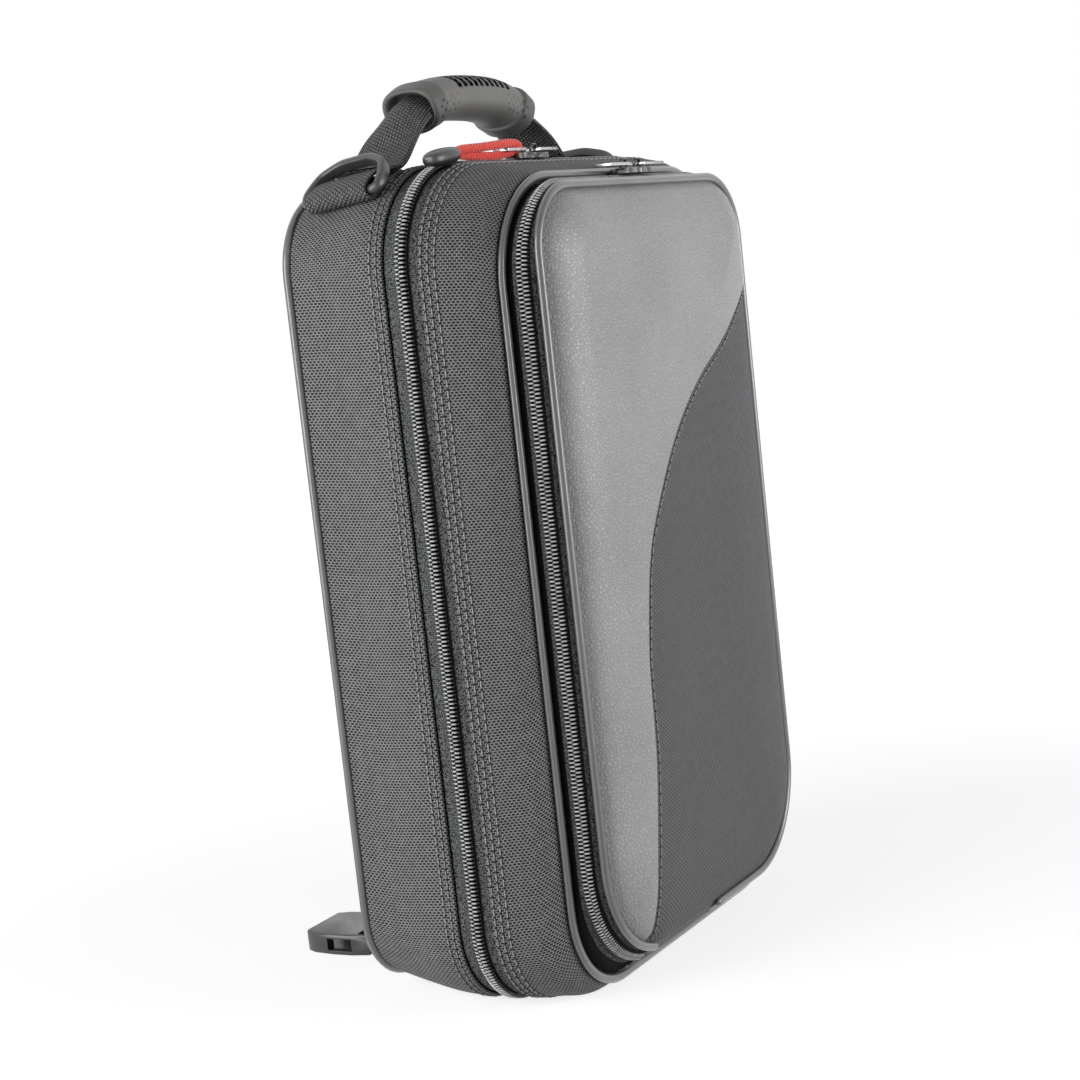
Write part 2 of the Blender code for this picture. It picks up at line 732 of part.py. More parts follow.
def slider(name, x, depth, top, width, pull_length, facing, finish):
    """A zip slider with its bridge, and the pull that turns in the bridge, lying on the side it faces."""
    plate_low = top + FIT
    plate_high = plate_low + SLIDER_PLATE
    axis_z = plate_high + BRIDGE_RISE / 2
    half = SLIDER_LENGTH / 2
    nose = width / 2 - SLIDER_NECK / 2
    outline = [
        (-half, -SLIDER_NECK / 2), (-half + nose, -width / 2), (half - nose, -width / 2),
        (half, -SLIDER_NECK / 2), (half, SLIDER_NECK / 2), (half - nose, width / 2),
        (-half + nose, width / 2), (-half, SLIDER_NECK / 2),
    ]
    middle = Vector((x, ZIP_Y + depth, (plate_low + plate_high) / 2))
    body = plate(name, [outline], SLIDER_PLATE, Matrix.Translation(middle), finish)
    reach = BRIDGE_SPAN / 2
    crest = axis_z + BRIDGE_RISE / 2 + PULL_WIRE / 2
    arch = [(x - reach, plate_low + SLIDER_PLATE / 2), (x - reach, axis_z), (x - reach / 2, crest)]
    arch += [(x + reach / 2, crest), (x + reach, axis_z), (x + reach, plate_low + SLIDER_PLATE / 2)]
    wire = tube(name + "_bridge", [(px, middle.y, pz) for px, pz in arch], PULL_WIRE, finish)
    wire = as_mesh(wire, finish)
    parts.objects.unlink(wire)
    cutters.objects.link(wire)
    wire.hide_render = True
    wire.display_type = "WIRE"
    boolean(body, wire, "UNION")
    far = facing * pull_length
    inner = facing * pull_length * WINDOW_SHARE
    near = PULL_WIRE / 2
    side = PULL_WIDTH / 2
    rim = sorted((-facing * near, far))
    frame = [(rim[0], -side), (rim[1], -side), (rim[1], side), (rim[0], side)]
    hole = sorted((facing * near, inner))
    gap = side - PULL_WIRE
    window = [(hole[0], -gap), (hole[0], gap), (hole[1], gap), (hole[1], -gap)]
    place = Matrix.Translation((x, middle.y, axis_z))
    plate(name.replace("slider", "pull"), [frame, window], PULL_WIRE, place, finish)


def build_sliders():
    """Two sliders on each zip, nose to nose, with their pulls, and the red cord with its end cap."""
    apart = SLIDER_LENGTH / 2 + SLIDER_GAP / 2
    for side, facing in (("left", -1), ("right", 1)):
        slider(
            f"main_slider_{side}", MAIN_MEET + facing * apart, 0.0, BODY_HEIGHT, MAIN_SLIDER_WIDTH,
            MAIN_PULL_LENGTH, facing, "slider",
        )
        slider(
            f"pocket_slider_{side}", POCKET_MEET + facing * apart, POCKET_LOOP.depth, POCKET_LOOP.top,
            POCKET_SLIDER_WIDTH, POCKET_PULL_LENGTH, facing, "slider",
        )
    axis_z = BODY_HEIGHT + FIT + SLIDER_PLATE + BRIDGE_RISE / 2
    thread = MAIN_MEET - apart - MAIN_PULL_LENGTH * WINDOW_SHARE + FIT + PULL_CORD / 2
    tab_end = MAIN_MEET - apart - MAIN_PULL_LENGTH
    cap_end = thread - PULL_CORD_LENGTH
    low = BODY_HEIGHT + PULL_CORD / 2 + FIT
    high = axis_z + PULL_WIRE / 2 + PULL_CORD / 2 + FIT
    route = (
        (cap_end, CORD_SIDE, low), ((cap_end + tab_end) / 2, CORD_SPREAD, low),
        (tab_end - PULL_CORD, CORD_SIDE, low),
        (tab_end, 0.0, low), (thread - PULL_CORD / 2, 0.0, low), (thread, 0.0, (low + high) / 2),
        (thread - PULL_CORD / 2, 0.0, high), (tab_end, 0.0, high), (tab_end - PULL_CORD, -CORD_SIDE, high),
        ((cap_end + tab_end) / 2, -CORD_SPREAD, low + FIT), (cap_end, -CORD_SIDE, low),
    )
    tube("pull_cord", [Vector((x, ZIP_Y + y, z)) for x, y, z in route], PULL_CORD, "cord")
    box(
        "pull_cap",
        (cap_end - FIT - CAP_LENGTH, ZIP_Y - CAP_WIDTH / 2, BODY_HEIGHT + FIT),
        (cap_end - FIT, ZIP_Y + CAP_WIDTH / 2, BODY_HEIGHT + FIT + CAP_HEIGHT),
        "rubber", CAP_ROUND,
    )


def ring_points(side):
    """The middle line of a strap ring, from its bar over its arch."""
    place, _ = ring_frame(side)
    lift = RING_WIRE / 2 + 2 * FIT + TAB_WEB
    reach = RING_TAB_WIDTH / 2 + RING_SIDE_GAP + RING_WIRE / 2
    lean = math.radians(RING_LEAN)
    found = []
    for out, up in RING_SHAPE_SHARES:
        rise = up * RING_RISE
        found.append(place @ Vector((out * reach, -rise * math.cos(lean), lift + rise * math.sin(lean))))
    return found


def handle_reach():
    """How far out the webbing meets the shell, so that its anchor ends short of the strap ring."""
    arch = min(point.x for point in ring_points(1)) - RING_WIRE / 2
    return arch - HANDLE_GAP - ANCHOR_TAB


def riser_reach():
    return handle_reach() - RISER_RUN


def handle_base():
    """The shell's height under the handle."""
    return rear_loop(HANDLE_DEPTH - STRAP_WIDTH / 2).top + FIT


def handle_height(x):
    """The strap's middle line over the shell, flat over the grip and steep towards its feet."""
    return HANDLE_RISE * (1 - (abs(x) / handle_reach()) ** HANDLE_BEND)


def handle_foot():
    """How far from the middle the strap is at the height where its sewn anchor ends."""
    return handle_reach() * (1 - ANCHOR_HEIGHT / HANDLE_RISE) ** (1 / HANDLE_BEND)


def build_handle():
    """Sewn anchors, the webbing's risers, the strap between them, and the moulded grip that it runs through."""
    base = handle_base()
    foot = handle_foot()
    reach = handle_reach()
    inner = riser_reach()
    grip_half = inner - GRIP_INSET
    for name, side in (("handle_anchor_left", -1), ("handle_anchor_right", 1)):
        lie = base + STRAP_WEB / 2
        line = [(foot + FIT, base + ANCHOR_HEIGHT - FIT)]
        for out, up in ANCHOR_BEND_SHARES:
            line.append((reach + out * ANCHOR_HEIGHT, lie + up * ANCHOR_HEIGHT))
        line.append((reach + ANCHOR_TAB, lie))
        plate(name, [thick_line(line, STRAP_WEB)], STRAP_WIDTH, across(HANDLE_DEPTH, side), "webbing")
        run = foot - inner - FIT
        stations = [inner + FIT + run * i / RISER_STATIONS for i in range(RISER_STATIONS + 1)]
        riser = [(x, base + handle_height(x)) for x in stations]
        plate(
            name.replace("anchor", "riser"), [thick_line(riser, STRAP_WEB)], STRAP_WIDTH,
            across(HANDLE_DEPTH, side), "webbing",
        )
    line = []
    for i in range(STRAP_STATIONS + 1):
        x = inner * (2 * i / STRAP_STATIONS - 1)
        line.append((x, base + handle_height(x)))
    plate("handle_strap", [thick_line(line, STRAP_WEB)], STRAP_WIDTH, across(HANDLE_DEPTH), "webbing")
    tunnel = plate(
        "grip_tunnel", [thick_line(line, STRAP_WEB + 2 * FIT)], STRAP_WIDTH + 2 * FIT, across(HANDLE_DEPTH),
        None,
    )
    shape = bmesh.new()
    rows = []
    for i in range(GRIP_STATIONS + 1):
        x = grip_half * (2 * i / GRIP_STATIONS - 1)
        slope = (handle_height(x + FIT) - handle_height(x - FIT)) / (2 * FIT)
        along_x = Vector((1.0, 0.0, slope)).normalized()
        up = Vector((-along_x.z, 0.0, along_x.x))
        taper = 1 - GRIP_TAPER_SHARE * (x / grip_half) ** 2
        end = GRIP_END_SHARE if i in (0, GRIP_STATIONS) else 1.0
        half_up = GRIP_THICKNESS / 2 * taper * end
        half_side = GRIP_WIDTH / 2 * end
        centre = Vector((x, ZIP_Y + HANDLE_DEPTH, base + handle_height(x)))
        ring = []
        for turn in range(GRIP_SIDES):
            angle = 2 * math.pi * turn / GRIP_SIDES
            c, s = math.cos(angle), math.sin(angle)
            side = math.copysign(abs(c) ** GRIP_ROUNDNESS, c) * half_side
            lift = math.copysign(abs(s) ** GRIP_ROUNDNESS, s) * half_up
            ring.append(centre + Vector((0.0, side, 0.0)) + up * lift)
        rows.append(ring)
    made = bridge(shape, rows)
    shape.faces.new(made[0])
    shape.faces.new(made[-1])
    bmesh.ops.recalc_face_normals(shape, faces=shape.faces)
    grip = mesh_object("handle_grip", shape, "rubber")
    boolean(grip, tunnel)
    for number in range(GROOVE_COUNT):
        x = (number - (GROOVE_COUNT - 1) / 2) * GROOVE_PITCH
        crest = base + handle_height(x) + GRIP_THICKNESS / 2
        size = (GROOVE_WIDTH, GROOVE_LENGTH, 2 * GROOVE_DEPTH)
        groove = box(
            f"groove_{number}", [-side / 2 for side in size], [side / 2 for side in size], None,
        )
        groove.location = (x, ZIP_Y + HANDLE_DEPTH, crest)
        groove.rotation_euler = (0.0, 0.0, math.radians(GROOVE_ANGLE))
        boolean(grip, groove)


def ring_frame(side):
    """The place of a strap ring: its bar lies on the top corner, along the shell's own slope."""
    angle = math.radians(RING_ANGLE)
    out = Vector((side * math.sin(angle), 0.0, math.cos(angle)))

    def surface(depth):
        loop = rear_loop(depth)
        centre = Vector((side * (loop.half_width - loop.top_radius), ZIP_Y + depth, loop.top - loop.top_radius))
        return centre + out * loop.top_radius

    near = surface(RING_DEPTH - RING_TAB_WIDTH / 2)
    far = surface(RING_DEPTH + RING_TAB_WIDTH / 2)
    bar = (far - near).normalized() * -side
    normal = (out - bar * out.dot(bar)).normalized()
    down = normal.cross(bar)
    turn = Matrix((bar, down, normal)).transposed().to_4x4()
    middle = (near + far) / 2
    between_them = [surface(RING_DEPTH + share * RING_TAB_WIDTH) for share in SEAT_SHARES]
    high = max((point - middle).dot(normal) for point in [middle] + between_them)
    return Matrix.Translation((near + far) / 2 + normal * high) @ turn, rear_loop(RING_DEPTH).top_radius


def build_rings():
    """A webbing tab on each top corner and the ring whose bar turns in it."""
    bulb = RING_WIRE / 2 + FIT + TAB_WEB
    lift = bulb + FIT
    for side, name in ((-1, "left"), (1, "right")):
        place, radius = ring_frame(side)
        low = [(y, -y * y / (2 * radius) + FIT) for y in (RING_TAB_LENGTH * share for share in TAB_SHARES)]
        high = [(y, z + 2 * TAB_WEB) for y, z in low[:3]][::-1]
        outline = low + arc((0.0, lift), bulb, -90, -270, 8) + high
        hole = arc((0.0, lift), RING_WIRE / 2 + FIT, 0, 315, 7)
        profile = Matrix(((0, 0, 1, 0), (1, 0, 0, 0), (0, 1, 0, 0), (0, 0, 0, 1)))
        plate(f"ring_tab_{name}", [outline, hole], RING_TAB_WIDTH, place @ profile, "webbing")
        tube(f"strap_ring_{name}", ring_points(side), RING_WIRE, "plastic", closed=True)


def build_buckles():
    """Sewn foot tabs, short webbing, and the socket halves of two side-release buckles."""
    edgewise = Matrix(((0, 0, 1, 0), (1, 0, 0, 0), (0, 1, 0, 0), (0, 0, 0, 1)))
    rear = ZIP_Y + REAR_DEPTH + REAR_CORD / 2
    hinge_y = rear + 2 * FIT + FOOT_WEB
    rest = FIT + FOOT_WEB / 2
    level = REAR_FOOT_RISE / 2 - FIT
    bar_y = ZIP_Y + BUCKLE_BACK
    bar_z = BUCKLE_HEIGHT / 2
    wrap = BUCKLE_BAR / math.sqrt(2) + FIT
    bulb = wrap + FOOT_WEB
    for side, name in ((-1, "left"), (1, "right")):
        x = side * BUCKLE_OFFSET
        place = Matrix.Translation((x, 0.0, 0.0)) @ edgewise
        start = hinge_y - FIT - FOOT_TAB_LENGTH
        sewn = [(start, rest + FIT), (start + FOOT_TAB_LENGTH / 2, level - FIT), (hinge_y - FIT, level - FIT)]
        plate(f"foot_tab_{name}", [thick_line(sewn, FOOT_WEB)], STRAP_WIDTH, place, "webbing")
        free = [
            (hinge_y + FIT, level), (hinge_y + (bar_y - hinge_y) * WEB_DROP_SHARE, (rest + level) / 2),
            (bar_y - bulb, rest), (bar_y, rest),
        ]
        lower = thick_line(free, FOOT_WEB)
        over, under = lower[:4], lower[4:]
        outline = over[:2] + arc((bar_y, bar_z), bulb, 150, -90, 9) + under[1:]
        hole = arc((bar_y, bar_z), wrap, 0, 315, 7)
        plate(f"foot_webbing_{name}", [outline, hole], STRAP_WIDTH, place, "webbing")
        build_buckle(f"strap_buckle_{name}", x, bar_y, bar_z, bulb)


def build_buckle(name, x, bar_y, bar_z, bulb):
    """A buckle socket: bowed sides, a mouth at the far end, a window in each side and a webbing bar."""
    half = BUCKLE_WIDTH / 2
    near = bar_y - BUCKLE_BAR / 2
    far = near + BUCKLE_LENGTH
    bow = [(out * half, near + on * BUCKLE_LENGTH) for out, on in BUCKLE_BOW_SHARES]
    outline = bow + [(-px, py) for px, py in bow[::-1]]
    centre = Matrix.Translation((x, 0.0, bar_z))
    body = plate(name, [outline], BUCKLE_HEIGHT, centre, "plastic")
    edge = body.modifiers.new("edges", "BEVEL")
    edge.width = BUCKLE_ROUND
    edge.segments = 2
    slot_half = STRAP_WIDTH / 2 + FIT
    slot_end = bar_y + bulb + FIT
    boolean(body, box(
        name + "_slot", (x - slot_half, near - BUCKLE_WALL, -BUCKLE_WALL),
        (x + slot_half, slot_end, BUCKLE_HEIGHT + BUCKLE_WALL), None,
    ))
    mouth_half = bow[-1][0] - BUCKLE_WALL
    boolean(body, box(
        name + "_mouth", (x - mouth_half, slot_end + BUCKLE_WALL, BUCKLE_WALL),
        (x + mouth_half, far + BUCKLE_WALL, BUCKLE_HEIGHT - BUCKLE_WALL), None,
    ))
    window_low = slot_end + BUCKLE_WALL
    boolean(body, box(
        name + "_window", (x - BUCKLE_WIDTH, window_low, (BUCKLE_HEIGHT - WINDOW_HEIGHT) / 2),
        (x + BUCKLE_WIDTH, window_low + WINDOW_LENGTH, (BUCKLE_HEIGHT + WINDOW_HEIGHT) / 2), None,
    ))
    reach = slot_half + BUCKLE_WALL / 2
    bar_half = BUCKLE_BAR / 2
    boolean(body, box(
        name + "_bar", (x - reach, bar_y - bar_half, bar_z - bar_half),
        (x + reach, bar_y + bar_half, bar_z + bar_half), None,
    ), "UNION")


def pivot(name, place, pieces, carrier=None):
    """An empty on a joint's line, which carries the pieces that move with it."""
    made = bpy.data.objects.new(name, None)
    made.location = place
    parts.objects.link(made)
    if carrier:
        made.parent = carrier
        made.matrix_parent_inverse = carrier.matrix_world.inverted()
    bpy.context.view_layer.update()
    for piece in pieces:
        held = parts.objects[piece]
        held.parent = made
        held.matrix_parent_inverse = made.matrix_world.inverted()
    return made


def build_pivots():
    """The lines that the lid, flap, handle, sliders, pulls, rings and buckles move on."""
    lid = pivot(
        "lid_pivot", (BODY_WIDTH / 2 + LID_LINE_OUT, ZIP_Y, BODY_HEIGHT / 2),
        ("front_shell", "front_piping", "main_zip_front", "spine_front", "lid_pad", "pocket_zip_rear",
         "pocket_hinge_rear"),
    )
    pivot(
        "flap_pivot", (0.0, ZIP_Y + POCKET_LOOP.depth, POCKET_LOOP.foot - FLAP_LINE_DROP),
        ("flap_pad", "leather_panel", "cloth_panel", "flap_piping", "pocket_zip_front", "pocket_hinge_front"),
        lid,
    )
    pivot(
        "handle_pivot", (0.0, ZIP_Y + HANDLE_DEPTH, handle_base()),
        ("handle_grip", "handle_strap", "handle_riser_left", "handle_riser_right"),
    )
    apart = SLIDER_LENGTH / 2 + SLIDER_GAP / 2
    rise = FIT + SLIDER_PLATE + BRIDGE_RISE / 2
    ring_lift = RING_WIRE / 2 + 2 * FIT + TAB_WEB
    hinge_y = ZIP_Y + REAR_DEPTH + REAR_CORD / 2 + 2 * FIT + FOOT_WEB
    for side, name in ((-1, "left"), (1, "right")):
        for chain, meet, depth, top, carrier in (
            ("main", MAIN_MEET, 0.0, BODY_HEIGHT, None),
            ("pocket", POCKET_MEET, POCKET_LOOP.depth, POCKET_LOOP.top, lid),
        ):
            middle = Vector((meet + side * apart, ZIP_Y + depth, top))
            runner = pivot(f"{chain}_slider_{name}_pivot", middle, (f"{chain}_slider_{name}",), carrier)
            hung = ("main_pull_left", "pull_cord", "pull_cap") if (chain, side) == ("main", -1) else (
                f"{chain}_pull_{name}",
            )
            pivot(f"{chain}_pull_{name}_pivot", middle + Vector((0.0, 0.0, rise)), hung, runner)
        place, _ = ring_frame(side)
        pivot(f"strap_ring_{name}_pivot", place @ Vector((0.0, 0.0, ring_lift)), (f"strap_ring_{name}",))
        pivot(
            f"buckle_{name}_pivot", (side * BUCKLE_OFFSET, hinge_y, REAR_FOOT_RISE / 2 - FIT),
            (f"foot_webbing_{name}", f"strap_buckle_{name}"),
        )


build_shells()
build_piping()
build_shell_zip()
build_spine()
build_pocket()
build_flap()
build_cradle()
build_sliders()
build_handle()
build_rings()
build_buckles()
build_pivots()
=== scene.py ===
import math

import bmesh
import bpy
import numpy as np
from mathutils import Matrix, Vector


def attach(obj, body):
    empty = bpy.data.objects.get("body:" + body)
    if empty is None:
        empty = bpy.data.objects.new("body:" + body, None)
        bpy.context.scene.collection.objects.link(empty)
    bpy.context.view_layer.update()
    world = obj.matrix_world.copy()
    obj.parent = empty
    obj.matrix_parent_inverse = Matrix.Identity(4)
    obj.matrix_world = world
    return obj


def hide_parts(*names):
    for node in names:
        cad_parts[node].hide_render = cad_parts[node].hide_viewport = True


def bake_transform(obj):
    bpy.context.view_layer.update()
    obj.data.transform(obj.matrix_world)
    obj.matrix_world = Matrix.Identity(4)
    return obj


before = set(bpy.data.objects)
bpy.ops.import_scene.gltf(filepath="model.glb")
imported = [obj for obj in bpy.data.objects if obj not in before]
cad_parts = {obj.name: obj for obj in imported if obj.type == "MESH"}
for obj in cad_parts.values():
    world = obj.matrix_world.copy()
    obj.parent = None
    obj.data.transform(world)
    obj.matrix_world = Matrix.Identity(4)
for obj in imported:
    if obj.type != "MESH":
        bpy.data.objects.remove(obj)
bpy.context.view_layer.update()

# Studio: a white floor and world, soft light from the left and the front, and the camera at the photograph's
# place. The floor and the sky are white to the camera and to reflections, and the floor keeps the shadow.


class Signal:
    """A node's output to reckon with. Each operator, and op for the rest, adds a Math node to its tree."""

    def __init__(self, output):
        self.output = output
        self.tree = output.id_data

    def op(self, operation, *others):
        return node(self.tree, "Math", dict(enumerate((self, *others))), operation=operation)

    def __add__(self, other):
        return self.op("ADD", other)

    def __sub__(self, other):
        return self.op("SUBTRACT", other)

    def __mul__(self, other):
        return self.op("MULTIPLY", other)

    def __truediv__(self, other):
        return self.op("DIVIDE", other)

    def __rsub__(self, other):
        return self.op("MULTIPLY_ADD", -1.0, other)

    __radd__, __rmul__ = __add__, __mul__


def put(slot, value):
    """Link a signal to an input, or set the input to a plain value."""
    if isinstance(value, Signal):
        slot.id_data.links.new(value.output, slot)
    else:
        slot.default_value = value


def node(tree, kind, inputs=None, output=0, **settings):
    """One output of a new shader node, with its settings, and its inputs filled by name or number."""
    made = tree.nodes.new("ShaderNode" + kind)
    for key, value in settings.items():
        setattr(made, key, value)
    for key, value in (inputs or {}).items():
        put(made.inputs[key], value)
    return Signal(made.outputs[output]) if len(made.outputs) else None


def split(vector):
    """The three numbers of a vector."""
    return [Signal(part) for part in node(vector.tree, "SeparateXYZ", {0: vector}).output.node.outputs]


def white_to_camera(tree):
    """1 for camera, glossy and transmission rays, 0 for the rays that light the object."""
    rays = [node(tree, "LightPath", output=f"Is {kind} Ray") for kind in ("Camera", "Glossy", "Transmission")]
    return rays[0].op("MAXIMUM", rays[1]).op("MAXIMUM", rays[2])


sky = bpy.data.worlds.new("sky")
bpy.context.scene.world = sky
sky.use_nodes = True
tree = sky.node_tree
tree.nodes.clear()
upward = split(node(tree, "NewGeometry", output="Incoming"))[2]
dimmed = node(tree, "MapRange", {0: upward, 1: -0.9, 2: 0.05, 3: 0.02, 4: 0.70})
strength = white_to_camera(tree).op("MAXIMUM", dimmed)
shade = node(tree, "Background", {"Color": (1.0, 1.0, 1.0, 1.0), "Strength": strength})
node(tree, "OutputWorld", {"Surface": shade})

bpy.ops.mesh.primitive_plane_add(size=8.0, location=(0.0, 0.0, 0.0))
floor = bpy.context.object
floor.name = "floor"
paper = bpy.data.materials.new("floor_paper")
paper.use_nodes = True
tree = paper.node_tree
tree.nodes.clear()
seen = white_to_camera(tree)
white = 0.8 - 0.36 * seen
matte = node(tree, "BsdfDiffuse", {"Color": node(tree, "CombineXYZ", {0: white, 1: white, 2: white})})
far = node(tree, "VectorMath", {0: node(tree, "TexCoord", output="Object")}, "Value", operation="LENGTH")
paling = node(tree, "MapRange", {0: far, 1: 0.20, 2: 0.70, 3: 0.76, 4: 1.0}, interpolation_type="SMOOTHSTEP")
glow = node(tree, "Emission", {"Color": (1.0, 1.0, 1.0, 1.0), "Strength": seen * paling})
node(tree, "OutputMaterial", {"Surface": node(tree, "AddShader", {0: matte, 1: glow})})
floor.data.materials.append(paper)

for name, place, size in (("key_left", (-1.10, 0.60, 0.40), 1.0), ("fill_front", (0.25, -1.35, 0.22), 0.9)):
    lamp = bpy.data.lights.new(name, "AREA")
    lamp.size = size
    lamp.energy = 17.0
    made = bpy.data.objects.new(name, lamp)
    made.location = place
    made.rotation_euler = (Vector((0.0, 0.0, 0.16)) - Vector(place)).to_track_quat("-Z", "Y").to_euler()
    bpy.context.scene.collection.objects.link(made)

lens = bpy.data.cameras.new("camera")
lens.sensor_width = 36.0
lens.lens = 72.652
lens.clip_start = 0.05
camera = bpy.data.objects.new("camera", lens)
right = Vector((0.484854, -0.867950, -0.107606))
up = Vector((0.165059, -0.030015, 0.985827))
camera.matrix_world = Matrix.Translation((-0.76076, -0.43386, 0.27845)) @ Matrix(
    (right, up, right.cross(up))
).transposed().to_4x4()
bpy.context.scene.collection.objects.link(camera)
bpy.context.scene.camera = camera
bpy.context.scene.view_settings.view_transform = "Standard"

# Bands of the case: woven ballistic nylon sewn round a stiff frame. Each section along the depth is a
# rounded rectangle, and the sections draw in from the main zip to the pipings front and back.

ZIP_Y = -0.012
ZIP_SECTION = (0.107, 0.0, 0.3158, 0.0356, 0.0405)
REAR_SECTION = (0.0943, 0.0054, 0.3100, 0.0275, 0.0310)
FRONT_SECTION = (0.0906, 0.0043, 0.3068, 0.0350, 0.0396)
POCKET_SECTION = (0.0894, 0.0092, 0.3052, 0.0460, 0.0350)
FLAP_SECTION = (0.0853, 0.0141, 0.3024, 0.0416, 0.0248)
REAR_DEPTH, FRONT_DEPTH, POCKET_DEPTH, FLAP_DEPTH = 0.0581, -0.0315, -0.0382, -0.0437
REAR_DRAW = ((0.0, 0.38, 0.69, 1.0), (0.0, 0.20, 0.68, 1.0))
REAR_LIFT = ((0.0, 0.38, 0.69, 1.0), (0.0, 0.0, 0.35, 1.0))
FRONT_DRAW = ((0.0, 0.5, 0.8, 1.0), (0.0, 0.27, 0.57, 1.0))
FRONT_LIFT = ((0.0, 0.5, 0.8, 1.0), (0.0, 0.0, 0.12, 1.0))
TAPE_EDGE, REAR_EDGE = 0.0056, 0.0087
REAR_STITCH = (0.0112, 0.0140)
FRONT_STITCH = (-0.0070, -0.0094, -0.0118)


def eased(place, table):
    """A cubic through the table's points, with slopes taken from the neighbours on both sides."""
    x, y = np.array(table[0]), np.array(table[1])
    slope = np.gradient(y, x)
    i = np.clip(np.searchsorted(x, place, side="right") - 1, 0, len(x) - 2)
    run = x[i + 1] - x[i]
    t = np.clip((place - x[i]) / run, 0.0, 1.0)
    return (
        (2 * t**3 - 3 * t**2 + 1) * y[i] + (t**3 - 2 * t**2 + t) * run * slope[i]
        + (3 * t**2 - 2 * t**3) * y[i + 1] + (t**3 - t**2) * run * slope[i + 1]
    )


def band_section(depth):
    """The five sizes of the band's section at each depth: half width, foot, top, foot radius, top radius."""
    depth = np.asarray(depth, float)
    rear = depth >= 0
    place = np.where(rear, depth / REAR_DEPTH, depth / FRONT_DEPTH)
    drawn = np.where(rear, eased(place, REAR_DRAW), eased(place, FRONT_DRAW))[..., None]
    raised = np.where(rear, eased(place, REAR_LIFT), eased(place, FRONT_LIFT))
    end = np.where(rear[..., None], REAR_SECTION, FRONT_SECTION)
    found = np.array(ZIP_SECTION) + (end - np.array(ZIP_SECTION)) * drawn
    found[..., 1] = ZIP_SECTION[1] + (end[..., 1] - ZIP_SECTION[1]) * raised
    return found


def inset(section, by):
    """A section drawn in by a distance, or grown where it is negative."""
    drawn = np.asarray(section, float) + np.asarray(by, float)[..., None] * (-1.0, 1.0, -1.0, -1.0, -1.0)
    drawn[..., 3:] = np.maximum(drawn[..., 3:], 0.0004)
    return drawn


def around(section, turn):
    """Points and outward normals of one rounded rectangle or of several. turn runs 0 to 9: half the foot, the
    foot corner at -X, the -X side, a top corner, the top, the other top corner, the +X side, its foot corner,
    and half the foot again. Each point is a centre plus a radius times the cosine and sine of an angle. All of
    them run evenly from one whole turn to the next, so a straight stretch is one whose angle stays."""
    w, foot, top, low_r, top_r = np.moveaxis(np.asarray(section, float), -1, 0)
    low_x, top_x, low_z, top_z = w - low_r, w - top_r, foot + low_r, top - top_r
    part = np.clip(np.floor(turn), 0, 8).astype(int)
    on = turn - part

    def between(*ends):
        ends = np.stack(np.broadcast_arrays(*ends), -1)
        return ends[..., part] * (1 - on) + ends[..., part + 1] * on

    radius = between(*[low_r] * 3, *[top_r] * 4, *[low_r] * 3)
    angle = -np.radians(between(90, 90, 180, 180, 270, 270, 360, 360, 450, 450))
    lean_x, lean_z = (np.broadcast_to(lean, radius.shape) for lean in (np.cos(angle), np.sin(angle)))
    x = between(0 * w, -low_x, -low_x, -top_x, -top_x, top_x, top_x, low_x, low_x, 0 * w)
    z = between(*[low_z] * 3, *[top_z] * 4, *[low_z] * 3)
    return x + radius * lean_x, z + radius * lean_z, lean_x, lean_z


def laid(sections, depths, turn):
    """Points of rounded rectangles at their depths: rows by turns by xyz, or one row."""
    x, z, _, _ = around(sections, turn)
    return np.stack([x, np.broadcast_to(ZIP_Y + np.asarray(depths)[..., None], x.shape), z], -1)


def lengths(points):
    """How far along a line each of its points lies."""
    return np.concatenate([[0.0], np.cumsum(np.linalg.norm(np.diff(points, axis=0), axis=-1))])


def run_lengths(section, turn):
    """How far round one section each turn value lies, in metres."""
    return lengths(np.stack(around(section, turn)[:2], -1))


def turns(counts, start=0.0, end=9.0):
    """Turn values with their own number of steps in each of the nine stretches, start and end included."""
    found = np.concatenate([np.arange(n) / n + i for i, n in enumerate(counts)] + [[9.0]])
    return found[(found >= start) & (found <= end)]


def unit(vectors):
    return vectors / np.linalg.norm(vectors, axis=-1, keepdims=True)


def mesh_object(name, points, faces, surface):
    """A smooth-shaded object of points and faces, in one material."""
    mesh = bpy.data.meshes.new(name)
    mesh.from_pydata(points.reshape(-1, 3).tolist(), [], faces)
    mesh.shade_smooth()
    mesh.materials.append(surface)
    made = bpy.data.objects.new(name, mesh)
    bpy.context.scene.collection.objects.link(made)
    return made


def quads_of(number, closed_u=False, closed_v=False):
    """Quads between the neighbours in a grid of vertex numbers."""
    low = number if closed_v else number[:-1]
    high = np.roll(number, -1, 0) if closed_v else number[1:]
    if closed_u:
        corners = [low, np.roll(low, -1, 1), np.roll(high, -1, 1), high]
    else:
        corners = [low[:, :-1], low[:, 1:], high[:, 1:], high[:, :-1]]
    return np.stack(corners, -1).reshape(-1, 4)


